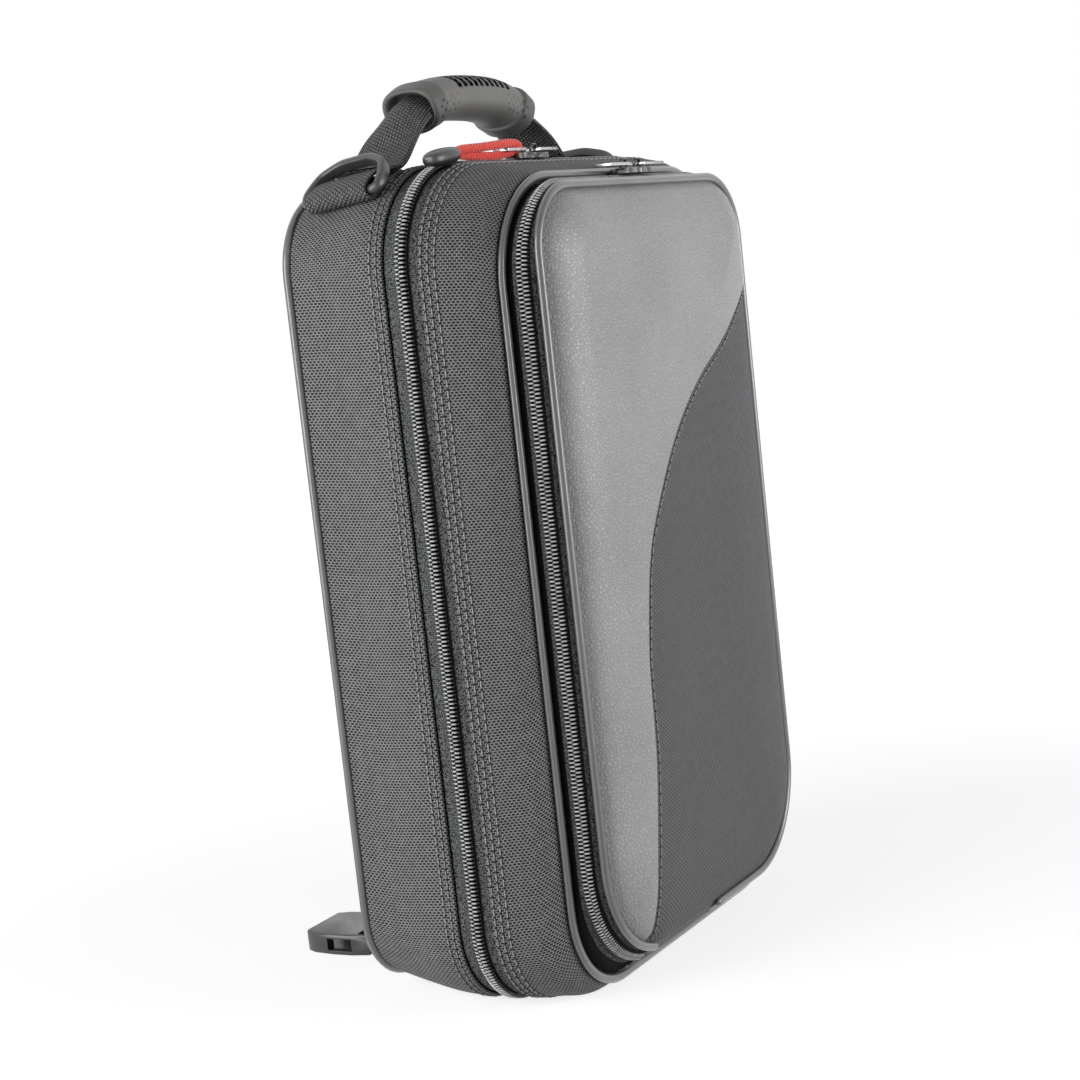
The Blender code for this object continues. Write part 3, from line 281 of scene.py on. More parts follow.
def sheet_mesh(name, points, surface, uv=None, closed_u=False, closed_v=False, flip=False, caps=False,
               period=(0.0, 0.0)):
    """A mesh from an array of points, rows by columns by xyz: quads between neighbours, a UV map in metres
    whose period is added where a closed row meets its start. caps closes both ends by a face, or the "last"."""
    number = np.arange(points.shape[0] * points.shape[1]).reshape(points.shape[:2])
    quads = quads_of(number, closed_u, closed_v)
    ends = [number[0][::-1]] * (caps is True) + [number[-1]] * bool(caps)
    faces = [(face[..., ::-1] if flip else face).tolist() for face in [quads] + ends]
    made = mesh_object(name, points, faces[0] + faces[1:], surface)
    if uv:
        corner = np.zeros(len(made.data.loops), np.int64)
        made.data.loops.foreach_get("vertex_index", corner)
        values = np.stack(np.broadcast_arrays(*uv), -1).reshape(-1, 2)[corner]
        quad_uv = values[: 4 * len(quads)].reshape(-1, 4, 2)
        for axis in (0, 1):
            if period[axis]:
                gap = quad_uv[:, :, axis].max(1, keepdims=True) - quad_uv[:, :, axis]
                quad_uv[:, :, axis] += np.where(gap > period[axis] / 2, period[axis], 0.0)
        made.data.uv_layers.new(name="run").data.foreach_set("uv", values.astype(np.float32).ravel())
    return made


def thickened(piece, wall, inner=None):
    """A wall on the inner side of a sheet, with its own material there where one is given."""
    step = piece.modifiers.new("wall", "SOLIDIFY")
    step.thickness = wall
    step.offset = -1.0
    if inner:
        piece.data.materials.append(inner)
        step.material_offset = 1
        step.material_offset_rim = 0


def fitted(piece, body, slot, *stands_for):
    """Say which body a piece rides on, and hide the solids that it stands for. Its slot is not used."""
    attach(piece, body)
    if stands_for:
        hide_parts(*stands_for)


def material(name, uv_map=None):
    """A new material, its shader's inputs, and a place: a UV map's, or else the object's own coordinates."""
    made = bpy.data.materials.new(name)
    made.use_nodes = True
    tree = made.node_tree
    place = node(tree, "UVMap", uv_map=uv_map) if uv_map else node(tree, "TexCoord", output="Object")
    return made, tree.nodes["Principled BSDF"].inputs, place


def filled_in(shader, colour, roughness, bump=None, **others):
    """Fill a shader's inputs, others by their names, and its normal from a strength, distance and height."""
    for key, value in {"Base Color": colour, "Roughness": roughness, **others}.items():
        put(shader[key.replace("_", " ")], value)
    if bump:
        strength, distance, height = bump
        relief = {"Strength": strength, "Distance": distance, "Height": height}
        put(shader["Normal"], node(height.tree, "Bump", relief))


def noise(place, scale, detail):
    return node(place.tree, "TexNoise", {"Vector": place, "Scale": scale, "Detail": detail})


def ramp(value, low, high):
    """A colour between two, by a value from 0 to 1."""
    low, high = (end if isinstance(end, Signal) else (*end, 1.0) for end in (low, high))
    return node(value.tree, "Mix", {"Factor": value, 6: low, 7: high}, 2, data_type="RGBA")


def smooth_step(value, start, end):
    limits = {0: value, 1: start, 2: end, 3: 0.0, 4: 1.0}
    return node(value.tree, "MapRange", limits, interpolation_type="SMOOTHSTEP")


def weave_group(name, across, along):
    """An empty node group for a weave: its three inputs as signals, and its output node's inputs."""
    tree = bpy.data.node_groups.new(name, "ShaderNodeTree")
    tree.interface.new_socket("Run", in_out="INPUT", socket_type="NodeSocketVector")
    for key, value in (("Across", across), ("Along", along)):
        tree.interface.new_socket(key, in_out="INPUT", socket_type="NodeSocketFloat").default_value = value
    for key in ("Light", "Height"):
        tree.interface.new_socket(key, in_out="OUTPUT", socket_type="NodeSocketFloat")
    given = tree.nodes.new("NodeGroupInput").outputs
    return [Signal(given[i]) for i in range(3)], tree.nodes.new("NodeGroupOutput").inputs


def weave_of(run, group, across, along):
    """The light and the height of a weave group at a run, in the run's own tree."""
    made = run.tree.nodes.new("ShaderNodeGroup")
    made.node_tree = bpy.data.node_groups[group]
    for key, value in (("Run", run), ("Across", across), ("Along", along)):
        put(made.inputs[key], value)
    return Signal(made.outputs["Light"]), Signal(made.outputs["Height"])


# Plain weave, from the run of the threads in metres. Light is 1 on the threads and falls to 0 in the dark dashes
# where a crosswise thread dives, set off by one column in each next row. The dashes are painted shade in the
# hollows of the weave, and the lighter stretch halfway between them on each thread is a painted highlight. Height
# is their relief.
(run, across, along), out = weave_group("plain_weave", 0.00091, 0.00104)
run_along, run_across, _ = split(run)
rows = run_along / along
row = rows.op("FLOOR")
side = ((run_across / across + row) * 0.5).op("FRACT") - 0.5
rise = rows - row - 0.5
far = (side.op("ABSOLUTE") / 0.38).op("MAXIMUM", rise.op("ABSOLUTE") / 0.33)
thread_shown = smooth_step(far, 0.60, 1.25)
put(out["Light"], (0.90 - 0.10 * (side * (2 * math.pi)).op("COSINE")) * thread_shown)
put(out["Height"], thread_shown)


def woven(name, dark, light, across, along, roughness, depth, patches=0.12):
    """Cloth of a plain weave on the piece's own UV map, a little uneven in colour and thread."""
    made, shader, run = material(name, "run")
    shown, height = weave_of(run, "plain_weave", across, along)
    level = shown + (noise(run, 260.0, 3.0) - 0.5) * 0.45 + (noise(run, 28.0, 2.0) - 0.5) * patches
    filled_in(shader, ramp(level, dark, light), roughness, (0.9, depth, height), Specular_IOR_Level=0.2)
    return made


nylon = woven("ballistic_nylon", (0.000, 0.000, 0.000), (0.218, 0.215, 0.221), 0.00091, 0.00104, 0.62, 0.00020)

# Brushed pile on the inner sides: a soft colour broken by fine noise, with a velvet sheen.
pile, shader, place = material("brushed_pile")
nap = noise(place, 900.0, 3.0)
level = noise(place, 40.0, 2.0) * 0.5 + nap * 0.6
colour = ramp(level, (0.035, 0.035, 0.037), (0.07, 0.07, 0.074))
filled_in(shader, colour, 0.95, (0.6, 0.0004, nap), Sheen_Weight=0.4)


def band(node_name, body, depths, edge, drop, stitches, grown, stretch, slant, wall):
    """A nylon band through sections at the depths, with its weave's run on it. Its cut edge is turned down
    by a quarter of an ellipse, and rows of stitches pull it in by a bell curve each."""
    turned = np.clip(np.abs(depths - edge) / 0.0010, 0.0, 1.0)
    dents = sum(0.00022 * np.exp(-(((depths - seam) / 0.0011) ** 2)) for seam in stitches)
    sink = drop * (1 - np.sqrt(1 - (1 - turned) ** 2)) + dents - grown
    turn = turns((26, 26, 120, 30, 64, 30, 120, 26, 26))
    run = run_lengths(ZIP_SECTION, turn)
    points = laid(inset(band_section(depths), sink), depths, turn[:-1])
    along = lengths(points[:, 60])[:, None] / stretch
    made = sheet_mesh(node_name + "_cloth", points, nylon, (run[None, :-1] - slant * along, along), closed_u=True,
                      flip=depths[-1] < depths[0], period=(run[-1], 0.0))
    thickened(made, wall, pile)
    fitted(made, body, "nylon", node_name)


lip = np.array([0.0, 0.0001, 0.0003, 0.0006, 0.0010])
depths = np.concatenate([REAR_EDGE + lip, np.linspace(0.0103, 0.0563, 46)])
band("rear_shell", "base", depths, REAR_EDGE, 0.0010, REAR_STITCH, 0.0003, 1.20, -0.05, 0.0045)

# Padded back: a panel of the same woven nylon over thin foam. It is sewn in at the rear piping, and the foam
# gives it a slight crown.

PADDING_AT = (0.0, 0.05, 0.13, 0.26, 0.45, 1.0)


def inset_of(section, x, z):
    """How far a point lies inside a rounded rectangle whose foot and top corners are unlike."""
    w, foot, top, low_r, top_r = section
    middle, half = (foot + top) / 2, (top - foot) / 2
    radius = np.where(z < middle, low_r, top_r)
    across, rise = np.abs(x) - w + radius, np.abs(z - middle) - half + radius
    outside = np.hypot(np.maximum(across, 0), np.maximum(rise, 0))
    return radius - outside - np.minimum(np.maximum(across, rise), 0)


def filled(section, edge, rings, depth):
    """Points at one depth from a section's rim, drawn in by the edge, to the line along its middle."""
    share = np.linspace(0.0, 1.0, rings) ** 1.4
    sections = inset(section, edge + share * (section[0] - edge - 0.0009))
    return laid(sections, np.full(rings, depth), turns((26, 16, 60, 16, 52, 16, 60, 16, 26))[:-1])


points = filled(REAR_SECTION, 0.0016, 30, 0.0566)
x, z = points[..., 0], points[..., 2]
deep = inset_of(REAR_SECTION, x, z) / REAR_SECTION[0]
points[..., 1] += 0.0046 * eased(deep, (PADDING_AT, (0.0, 0.36, 0.66, 0.87, 1.0, 1.0)))
back = sheet_mesh("back_panel_cloth", points, nylon, (z, x), closed_u=True, caps="last")
fitted(back, "base", "nylon", "back_panel")

# Front shell: the lid's band of the same woven nylon round a stiff frame. It is sewn flush to the zip's tape
# and in under the front piping.

depths = -np.concatenate([TAPE_EDGE + lip, np.linspace(0.0072, 0.0298, 28)])
band("front_shell", "lid", depths, -TAPE_EDGE, 0.0008, FRONT_STITCH, -0.0001, 0.90, 0.10, 0.0036)

# Walls of both shells: the front one behind the pocket, and the rear one, which carries the back's padding
# and the cradle.

for name, body, section_depth, depth, wall in (
    ("front_shell", "lid", -0.0288, -0.0292, 0.0034), ("rear_shell", "base", 0.0553, 0.0556, 0.0044),
):
    points = filled(band_section(section_depth), 0.0012, 8, depth)
    uv = (points[..., 2], points[..., 0])
    made = sheet_mesh(name + "_wall", points, nylon, uv, closed_u=True, caps="last", flip=depth < 0)
    thickened(made, wall, pile)
    fitted(made, body, "nylon", name)

# Stitches: rows of lockstitch in twisted grey thread through both shells' bands beside the zip. They hold the
# zip's tapes under the cloth, and each stitch dips into it at both ends.


def circle(count):
    """The cosine and sine of even angles round a circle."""
    angle = np.arange(count) / count * 2 * math.pi
    return np.cos(angle), np.sin(angle)


def capsule(path, radii, sides=6):
    """Rings of a bent rod: each is a circle round the path's point, across the path's own direction. The
    path lies in the plane of its second and third number, and the first runs along the row."""
    path = np.asarray(path, float)
    way = unit(np.gradient(path, axis=0))
    first = np.array([1.0, 0.0, 0.0]) - way * way[:, :1]
    size = np.linalg.norm(first, axis=1, keepdims=True)
    first = np.where(size > 0.2, first / np.maximum(size, 1e-9), [0.0, 0.0, 1.0])
    cos, sin = (part[None, :, None] for part in circle(sides))
    ring = first[:, None] * cos + np.cross(way, first)[:, None] * sin
    return path[:, None] + np.asarray(radii)[:, None, None] * ring


def mark(piece, name, values):
    """A number for each vertex, kept on the mesh for its material."""
    piece.data.attributes.new(name, "FLOAT", "POINT").data.foreach_set("value", values.ravel())


def repeated(name, rings, places, runs, acrosses, outs, surface):
    """One small form set at many places, each turned by three directions: all its points are the place plus
    the form's three numbers times the directions. Its rings are joined by quads and closed at both ends."""
    rows, sides = rings.shape[:2]
    form = rings.reshape(-1, 3)
    points = places[:, None] + form[None] @ np.stack([runs, acrosses, outs], 1)
    number = np.arange(rows * sides).reshape(rows, sides)
    parts = [quads_of(number, closed_u=True), number[:1, ::-1], number[-1:]]
    if np.dot(np.cross(runs[0], acrosses[0]), outs[0]) < 0:
        parts = [part[:, ::-1] for part in parts]
    shift = np.arange(len(places))[:, None, None] * len(form)
    faces = sum(((part[None] + shift).reshape(-1, part.shape[1]).tolist() for part in parts), [])
    made = mesh_object(name, points, faces, surface)
    mark(made, "along", np.tile(np.repeat(np.linspace(0.0, 1.0, rows), sides), len(places)))
    return made


def loop_curve(section, depth, turn, lift=0.0, ahead=None, behind=None):
    """A section's line at a depth with its outward direction, or the one square to the line and to the
    slope between two neighbouring sections, each given with its depth."""
    _, _, nx, nz = around(section, turn)
    outward = normal = np.stack([nx, 0 * nx, nz], -1)
    points = laid(section, depth, turn)
    if ahead:
        across = laid(*ahead, turn) - laid(*behind, turn)
        run = np.stack([-nz, 0 * nx, nx], -1)
        across = unit(across - run * (across * run).sum(-1, keepdims=True))
        outward = np.cross(across, run)
        outward *= np.sign((outward * normal).sum(-1, keepdims=True))
    return np.concatenate([points + outward * lift, outward], -1)


def sampled(values, at_each, wanted):
    """Rows of values, given at places along a line, read at other places along it."""
    return np.stack([np.interp(wanted, at_each, column) for column in values.T], -1)


def set_along(name, rings, curve, pitch, surface, shift=0.0, side=1.0):
    """A form repeated at even steps along a curve whose last three columns are its outward direction."""
    length = lengths(curve[:, :3])
    starts = (shift, shift + pitch * 0.02)
    found, ahead = (sampled(curve, length, np.arange(start, length[-1], pitch)) for start in starts)
    found = found[:len(ahead)]
    run, out = unit(ahead[:, :3] - found[:, :3]), unit(found[:, 3:])
    cross = np.cross(out, run)
    return repeated(name, rings, found[:, :3], run, cross * np.sign(cross[:, 1:2] * side), out, surface)


def attribute(place, name):
    return node(place.tree, "Attribute", output="Fac", attribute_name=name)


thread, shader, place = material("grey_thread")
on_rod = attribute(place, "along")
# The two ends of each stitch, where it dips into the cloth, are painted black: painted shade in the stitch holes.
# The noise makes the thread uneven.
shown = smooth_step(on_rod, 0.22, 0.34) * smooth_step(on_rod, 0.78, 0.66) * (noise(place, 1400.0, 2.0) * 0.8 + 0.4)
filled_in(shader, ramp(shown, (0.002, 0.002, 0.002), (0.330, 0.330, 0.350)), 0.6)
stitch = capsule(
    [(-0.00193, 0, -0.0001), (-0.0017, 0, 0.0), (-0.0013, 0, 0.0001), (0.0, 0, 0.0002), (0.0013, 0, 0.0001),
     (0.0017, 0, 0.0), (0.00193, 0, -0.0001)],
    [0.00028, 0.00034, 0.00026, 0.00030, 0.00026, 0.00034, 0.00028], 5,
)
FINE_STEPS = (40, 60, 200, 60, 100, 60, 200, 60, 40)
for name, seams, body, lift in (
    ("rear_stitches", REAR_STITCH, "base", 0.00026), ("front_stitches", FRONT_STITCH, "lid", -0.00014),
):
    for number, depth in enumerate(seams):
        curve = loop_curve(band_section(depth), depth, turns(FINE_STEPS), lift)
        row = set_along(f"{name}_{number}", stitch, curve, 0.0039, thread, shift=0.001 * number)
        fitted(row, body, "nylon")

# Main zip: two woven tapes with a black nylon coil on each edge, meshed along the middle. It runs from the
# spine round the foot, the left side and the top, and is sewn under both shells' bands.

tape_cloth, shader, run = material("zip_tape", "run")
run_along, run_across, _ = split(run)
rib = (run_along * (2 * math.pi / 0.0007)).op("SINE")
speck = noise(node(run.tree, "TexCoord", output="Object"), 1900.0, 1.0)
level = rib * 0.15 + (speck * 3.6 - 1.3)
# The tape is painted black next to the coil and next to the cloth or piping at its other edge, as painted shade of
# the raised coil and of that edge. Only the strip between keeps the tape's own colour.
unshaded_strip = smooth_step(run_across, 0.0036, 0.0041) * smooth_step(run_across, 0.0066, 0.0062)
colour = ramp(level * unshaded_strip, (0.003, 0.003, 0.003), (0.150, 0.164, 0.158))
filled_in(shader, colour, 0.8, (0.7, 0.00015, level), Specular_IOR_Level=0.1)

coil_nylon, shader, place = material("coil_nylon")
smear, on_rod = noise(place, 300.0, 2.0), attribute(place, "along")
# Painted highlights: the head of each rod over the middle line, and a fainter band at its bend over the tape's
# edge, are painted light where lamps would glint on the shiny black coil. The rest stays black.
head_highlight = smooth_step(on_rod, 0.22, 0.46) * smooth_step(on_rod, 0.80, 0.70)
bend_highlight = smooth_step(on_rod, 0.02, 0.08) * smooth_step(on_rod, 0.20, 0.12)
painted_highlight = (bend_highlight * 0.35 + head_highlight) * (smear * 1.2 + 0.3)
colour = ramp(painted_highlight, (0.002, 0.002, 0.002), (0.50, 0.49, 0.50))
filled_in(shader, colour, smear * 0.2 + 0.2, Specular_IOR_Level=0.45)


def tape(node_name, sections, depths, turn, body, shown):
    """A zip tape through sections at their depths. Its UV is the run along the zip and the distance across, eased
    so that the stretch left unshaded between the coil and the cloth always has the same values. Outside that
    stretch the tape is painted dark, as painted shade beside the coil and under the cloth's or piping's edge."""
    points = laid(sections, depths, turn)
    step = np.linalg.norm(np.diff(points, axis=0), axis=-1).mean(1)
    across = np.concatenate([[0.0], np.cumsum(step)])
    across = np.interp(across, (0.0, *shown, across[-1] + 0.001), (0.0, 0.0038, 0.0064, 0.0100))
    uv = (run_lengths(sections[0], turn)[None], across[:, None])
    made = sheet_mesh(node_name.replace("zip", "tape"), points, tape_cloth, uv, flip=depths[-1] < depths[0])
    thickened(made, 0.0006)
    fitted(made, body, "zip", node_name)


def chain(node_name, curve, pitch, shift, half, thick, high, side, body):
    """One side's coil: a rod bent over the tape's edge at each step, its head across the middle line."""
    bent = ((1, -0.5), (0.92, 0.2), (0.66, 0.78), (0.34, 0.98), (-0.02, 0.95), (-0.14, 0.55))
    rod = capsule([(0, y * half, z * high) for y, z in bent], np.array([0.8, 1.0, 1.0, 1.0, 1.08, 0.7]) * thick)
    made = set_along(node_name.replace("zip", "coil"), rod, curve, pitch, coil_nylon, shift * (side > 0), side)
    fitted(made, body, "zip", node_name)


fine = turns(FINE_STEPS)
main_turn = np.concatenate([fine[fine >= 7.01], fine[(fine > 0) & (fine <= 5.985)]])
for side, name, body, shown in (
    (1, "main_zip_rear", "base", (0.0020, 0.0086)), (-1, "main_zip_front", "lid", (0.0017, 0.0080)),
):
    depths = side * np.array([0.0004, 0.0020, 0.0034, 0.0050, 0.0060, 0.0080, 0.0100][: 7 if side > 0 else 6])
    tape(name, inset(band_section(depths), 0.0013), depths, main_turn, body, shown)
    curve = loop_curve(ZIP_SECTION, 0.0008, main_turn, -0.0007)
    chain(name, curve, 0.001534, 0.000767, 0.0023, 0.00036, 0.00095, side, body)

# Spine: a folded strip of the same nylon along the lid's hinge line, where the main zip stops. It is sewn in
# under both bands, with one leaf on each shell.


def leaf(name, body, points, along, across, wall, flip):
    """One leaf of a nylon fold, with its weave's run along and across it."""
    made = sheet_mesh(name + "_leaf", points, nylon, (along[None], across[:, None]), flip=flip)
    thickened(made, wall)
    fitted(made, body, "nylon", name)


turn = np.linspace(5.985, 7.01, 60)
wide = np.array([0.00035, 0.0012, 0.003, 0.005, 0.0071])
for side, name, body in ((1, "spine_rear", "base"), (-1, "spine_front", "lid")):
    sections = inset(band_section(side * wide), (0.0012, 0.0006, 0.0005, 0.0006, 0.0014))
    points = laid(sections, side * wide, turn)
    leaf(name, body, points, run_lengths(ZIP_SECTION, turn), wide, 0.0010, side < 0)

# Covered pipings: a cord in satin leatherette along each seam of the shells and the flap. Its cover is creased
# finely where the foot of the sewing machine ran, and the crease is painted dark as painted shade.


def with_painted_shade(place, colour):
    """A colour darkened towards black by a mark on the mesh: painted shade in creases, slots and dimples and on
    hoods.
    """
    return ramp(attribute(place, "painted_shade"), colour, (0.004, 0.004, 0.004))


piping_skin, shader, place = material("piping_skin")
cells = node(place.tree, "TexVoronoi", {"Vector": place, "Scale": 1100.0}, feature="SMOOTH_F1")
drift = noise(place, 60.0, 4.0)
colour = ramp(drift * 0.8 + cells * 0.35, (0.050, 0.050, 0.050), (0.125, 0.125, 0.121))
filled_in(shader, with_painted_shade(place, colour), drift * 0.16 + 0.24, (0.5, 0.00004, cells), Coat_Weight=1.0,
          Coat_Roughness=0.22)


def piping(node_name, body, section, depth, size, start=0.0, end=9.0, crease=-34.0):
    """A cord of an oval section, so high and so wide, with a groove along one side. It is closed on itself or
    has rounded ends. Its radius is that of the oval less a bell curve of the angle from the groove."""
    whole = end - start == 9.0
    turn = turns((26, 30, 90, 34, 64, 34, 90, 30, 26), start, end)
    near = np.array([0.0, 0.003, 0.01, 0.02, 0.03])
    turn = turn[:-1] if whole else np.unique(np.concatenate([start + near, end - near, turn]))
    x, z, nx, nz = (part[:, None] for part in around(section, turn))
    angle = np.arange(36) / 36 * 2 * math.pi
    away = np.remainder(angle - math.radians(crease) + math.pi, 2 * math.pi) - math.pi
    radius = np.full((len(turn), 1), 0.5) * (1 - 0.20 * np.exp(-((away / 0.20) ** 2)))
    run = run_lengths(section, turn)
    if not whole:
        t = np.clip(np.minimum(run, run[-1] - run) / (size[0] / 2), 0.0, 1.0)
        radius = radius * np.sqrt(np.maximum(1 - (1 - t) ** 2, 0.02))[:, None]
    out_x, out_y = radius * np.cos(angle) * size[0] + 0.0003, radius * np.sin(angle) * size[1]
    points = np.stack([x + nx * out_x, ZIP_Y + depth + out_y, z + nz * out_x], -1)
    made = sheet_mesh(node_name + "_cord", points, piping_skin, closed_u=True, closed_v=whole, caps=not whole,
                      flip=True)
    # The crease along the cord is painted dark, as painted shade in its groove.
    mark(made, "painted_shade", np.broadcast_to(0.75 * np.exp(-((away / 0.16) ** 2)), points.shape[:2]))
    fitted(made, body, "piping", node_name)


piping("rear_piping", "base", REAR_SECTION, REAR_DEPTH, (0.0034, 0.0034), crease=30.0)
piping("front_piping", "lid", FRONT_SECTION, FRONT_DEPTH + 0.0002, (0.0036, 0.0026))
piping("flap_piping", "pocket_flap", FLAP_SECTION, FLAP_DEPTH - 0.0006, (0.0034, 0.0031), 1.13, 8.93)

# Pocket zip: a lighter zip of the same make between the two front pipings. Each tape is sewn in under its
# piping, and slopes with the pocket's gusset.

FRONT_SEAM = (inset(FRONT_SECTION, 0.0018), FRONT_DEPTH - 0.0004)
FLAP_SEAM = (inset(FLAP_SECTION, 0.0014), FLAP_DEPTH + 0.0004)


def gusset(drawn_in, gap, seam, share, drawn):
    """Sections and depths of a strip that runs from the pocket zip's line to the seam under a piping."""
    near = inset(POCKET_SECTION, drawn_in)
    depth = POCKET_DEPTH + gap + (seam[1] - POCKET_DEPTH - gap) * share
    return near + (seam[0] - near) * drawn[:, None], depth


pocket_turn = turns(FINE_STEPS, 1.14, 8.88)
share = np.array([0.0, 0.18, 0.42, 0.7, 1.0])
for side, name, body, seam, shown in (
    (1, "pocket_zip_rear", "lid", FRONT_SEAM, (0.0016, 0.0054)),
    (-1, "pocket_zip_front", "pocket_flap", FLAP_SEAM, (0.0028, 0.0076)),
):
    sections, depths = gusset(0.0012, side * 0.0003, seam, share, np.maximum(share - 0.30, 0) / 0.70)
    tape(name, sections, depths, pocket_turn, body, shown)
    curve = loop_curve(POCKET_SECTION, POCKET_DEPTH - 0.0004, pocket_turn, -0.0010,
                       (FRONT_SECTION, FRONT_DEPTH), (FLAP_SECTION, FLAP_DEPTH))
    chain(name, curve, 0.001519, 0.00076, 0.0024, 0.00035, 0.00090, side, body)

# Pocket hinge: a strip of the same nylon along the foot, where the pocket's zip stops. It is folded between
# the two front pipings, with one leaf sewn in under each.

turn = np.concatenate([np.linspace(8.86, 9.0, 10)[:-1], np.linspace(0.0, 1.145, 40)])
share = np.array([0.0, 0.12, 0.35, 0.7, 1.0])
for side, name, body, seam in (
    (1, "pocket_hinge_rear", "lid", FRONT_SEAM), (-1, "pocket_hinge_front", "pocket_flap", FLAP_SEAM),
):
    sections, depths = gusset(-0.0003, side * 0.0001, seam, share, share)
    points = laid(inset(sections, (0.0, -0.0002, -0.0004, -0.0004, 0.0)), depths, turn)
    leaf(name, body, points, points[0, :, 0], depths, 0.0008, side < 0)

# Padded flap: grained leather and a plain cloth over foam, joined along one long curved seam. The leather
# laps over the cloth with a turned edge.

SEAM = np.array([
    (0.0870, 0.2630), (0.0720, 0.2562), (0.0578, 0.2498), (0.0328, 0.2356), (0.0137, 0.2263), (-0.0026, 0.2155),
    (-0.0169, 0.2037), (-0.0275, 0.1917), (-0.0342, 0.1832), (-0.0437, 0.1696), (-0.0486, 0.1553),
    (-0.0545, 0.1264), (-0.0550, 0.1111), (-0.0554, 0.0958), (-0.0564, 0.0850), (-0.0583, 0.0730),
    (-0.0626, 0.0480), (-0.0632, 0.0320), (-0.0620, 0.0240), (-0.0600, 0.0186),
])
CROWN = (PADDING_AT, (0.0, 0.36, 0.66, 0.87, 0.98, 1.0))
FAR_CROWN = (PADDING_AT, (0.0, 0.23, 0.48, 0.74, 0.94, 1.0))
FLAP_RIM = 0.0009


def rounded_path(points, count, passes, closed=False):
    """A polyline with its corners rounded by repeated means of neighbours, in even steps."""
    points = np.asarray(points, float)
    if closed:
        points = np.concatenate([points, points[:1]])
    length = lengths(points)
    line = sampled(points, length, np.linspace(0.0, length[-1], count + closed))
    if closed:
        line = line[:-1]
    held = slice(None) if closed else slice(1, -1)
    for _ in range(passes):
        line[held] = (line * 0.5 + (np.roll(line, 1, 0) + np.roll(line, -1, 0)) * 0.25)[held]
    return line


def beside(line, by):
    """A line of x and z moved sideways by a distance."""
    way = unit(np.gradient(line, axis=0))
    return line + np.stack([-way[:, 1], way[:, 0]], -1) * by


def smoothed(share):
    """A share from 0 to 1 with level ends."""
    share = np.clip(share, 0.0, 1.0)
    return share * share * (3 - 2 * share)


def flap_height(x, z):
    """How far the padding stands forward of its rim: an eased table of the inset, gentler on the far side."""
    share = np.clip(inset_of(FLAP_SECTION, x, z) - FLAP_RIM, 0.0, None) / (FLAP_SECTION[0] - FLAP_RIM)
    near, far = eased(share, CROWN), eased(share, FAR_CROWN)
    return 0.0115 * (near + (far - near) * smoothed((x + 0.01) / 0.07))


def rim_at(turn):
    """Points on the flap's rim, as x and z."""
    return np.stack(around(inset(FLAP_SECTION, FLAP_RIM), np.mod(turn, 9.0))[:2], -1)


def skin(name, rim_end, surface, seam_offset, lift, turned, flip, stands_for, slot):
    """A flap skin between the seam and the rim from the seam's top to its foot: straight lines join like
    shares of both, and each point stands forward by the padding's height there plus the skin's own lift."""
    border = rim_at(np.linspace(top_turn, rim_end, 1200))
    length = lengths(border)
    border = sampled(border, length, np.linspace(0.0, length[-1], 260))
    line = beside(seam, seam_offset)
    line = sampled(line, np.linspace(0, 1, len(line)), np.linspace(0, 1, len(border)))
    apart = np.linalg.norm(border - line, axis=1)[:, None]
    near = np.clip(np.array([0.0, 0.0003, 0.0006, 0.0010, 0.0016, 0.003]) / np.maximum(apart, 1e-4), 0, 0.5)
    cells = 1 - (1 - np.linspace(0, 1, 60)) ** 1.5
    share = np.concatenate([near, near[:, -1:] + (1 - near[:, -1:]) * cells[1:]], 1)
    grid = line[:, None] + (border - line)[:, None] * share[..., None]
    x, z = grid[..., 0], grid[..., 1]
    roll = np.clip(share * apart / 0.0009, 0.0, 1.0)
    drop = turned * (1 - np.sqrt(1 - (1 - roll) ** 2))
    fade = np.clip(inset_of(FLAP_SECTION, x, z) - FLAP_RIM, 0.0, 0.003) / 0.003
    y = ZIP_Y + FLAP_DEPTH - flap_height(x, z) - (lift - drop) * fade
    made = sheet_mesh(name, np.stack([x, y, z], -1), surface, (z - 0.098 * x, x + 0.098 * z), flip=flip)
    thickened(made, 0.0011, pile)
    fitted(made, "pocket_flap", slot, stands_for)


leather, shader, place = material("grained_leather")
warp = node(place.tree, "TexNoise", {"Vector": place, "Scale": 180.0, "Detail": 3.0}, "Color")
bent = node(place.tree, "VectorMath", {0: warp, 3: 0.0016}, operation="SCALE")
bent = node(place.tree, "VectorMath", {0: place, 1: bent}, operation="ADD")
cells = node(place.tree, "TexVoronoi", {"Vector": bent, "Scale": 720.0}, feature="DISTANCE_TO_EDGE")
pebble, drift = smooth_step(cells, 0.0, 0.28), noise(place, 26.0, 5.0)
drawn = node(place.tree, "Mapping", {0: place, 3: (1.0, 1.0, 0.16)})
crease = node(place.tree, "TexNoise", {"Vector": drawn, "Scale": 210.0, "Detail": 3.0, "Roughness": 0.6})
colour = ramp(drift * 0.7 + pebble * 0.35, (0.150, 0.151, 0.150), (0.330, 0.331, 0.327))
filled_in(shader, colour, drift * 0.12 + 0.44 - pebble * 0.10, (0.9, 0.00018, crease * 0.8 + pebble),
          Coat_Weight=0.35, Coat_Roughness=0.38)

flap_cloth = woven("flap_cloth", (0.045, 0.046, 0.048), (0.150, 0.153, 0.158), 0.00096, 0.00096, 0.75, 0.00014,
                   0.15)

seam = rounded_path(SEAM, 240, 60)
rim_turns = np.linspace(0.0, 9.0, 9001)
rim = rim_at(rim_turns)
top_turn, foot_turn = (rim_turns[np.argmin(np.linalg.norm(rim - end, axis=1))] for end in seam[[0, -1]])
skin("leather_skin", foot_turn, leather, -0.0006, 0.0011, 0.0011, False, "leather_panel", "leather")
skin("cloth_skin", foot_turn + 9.0, flap_cloth, -0.0030, 0.0, 0.0, True, "cloth_panel", "panel_cloth")

# Seam stitches: a row of the same grey thread in the cloth, beside the leather's turned edge. It sews the two
# skins together, and each stitch stands square to the padding, by its slopes.

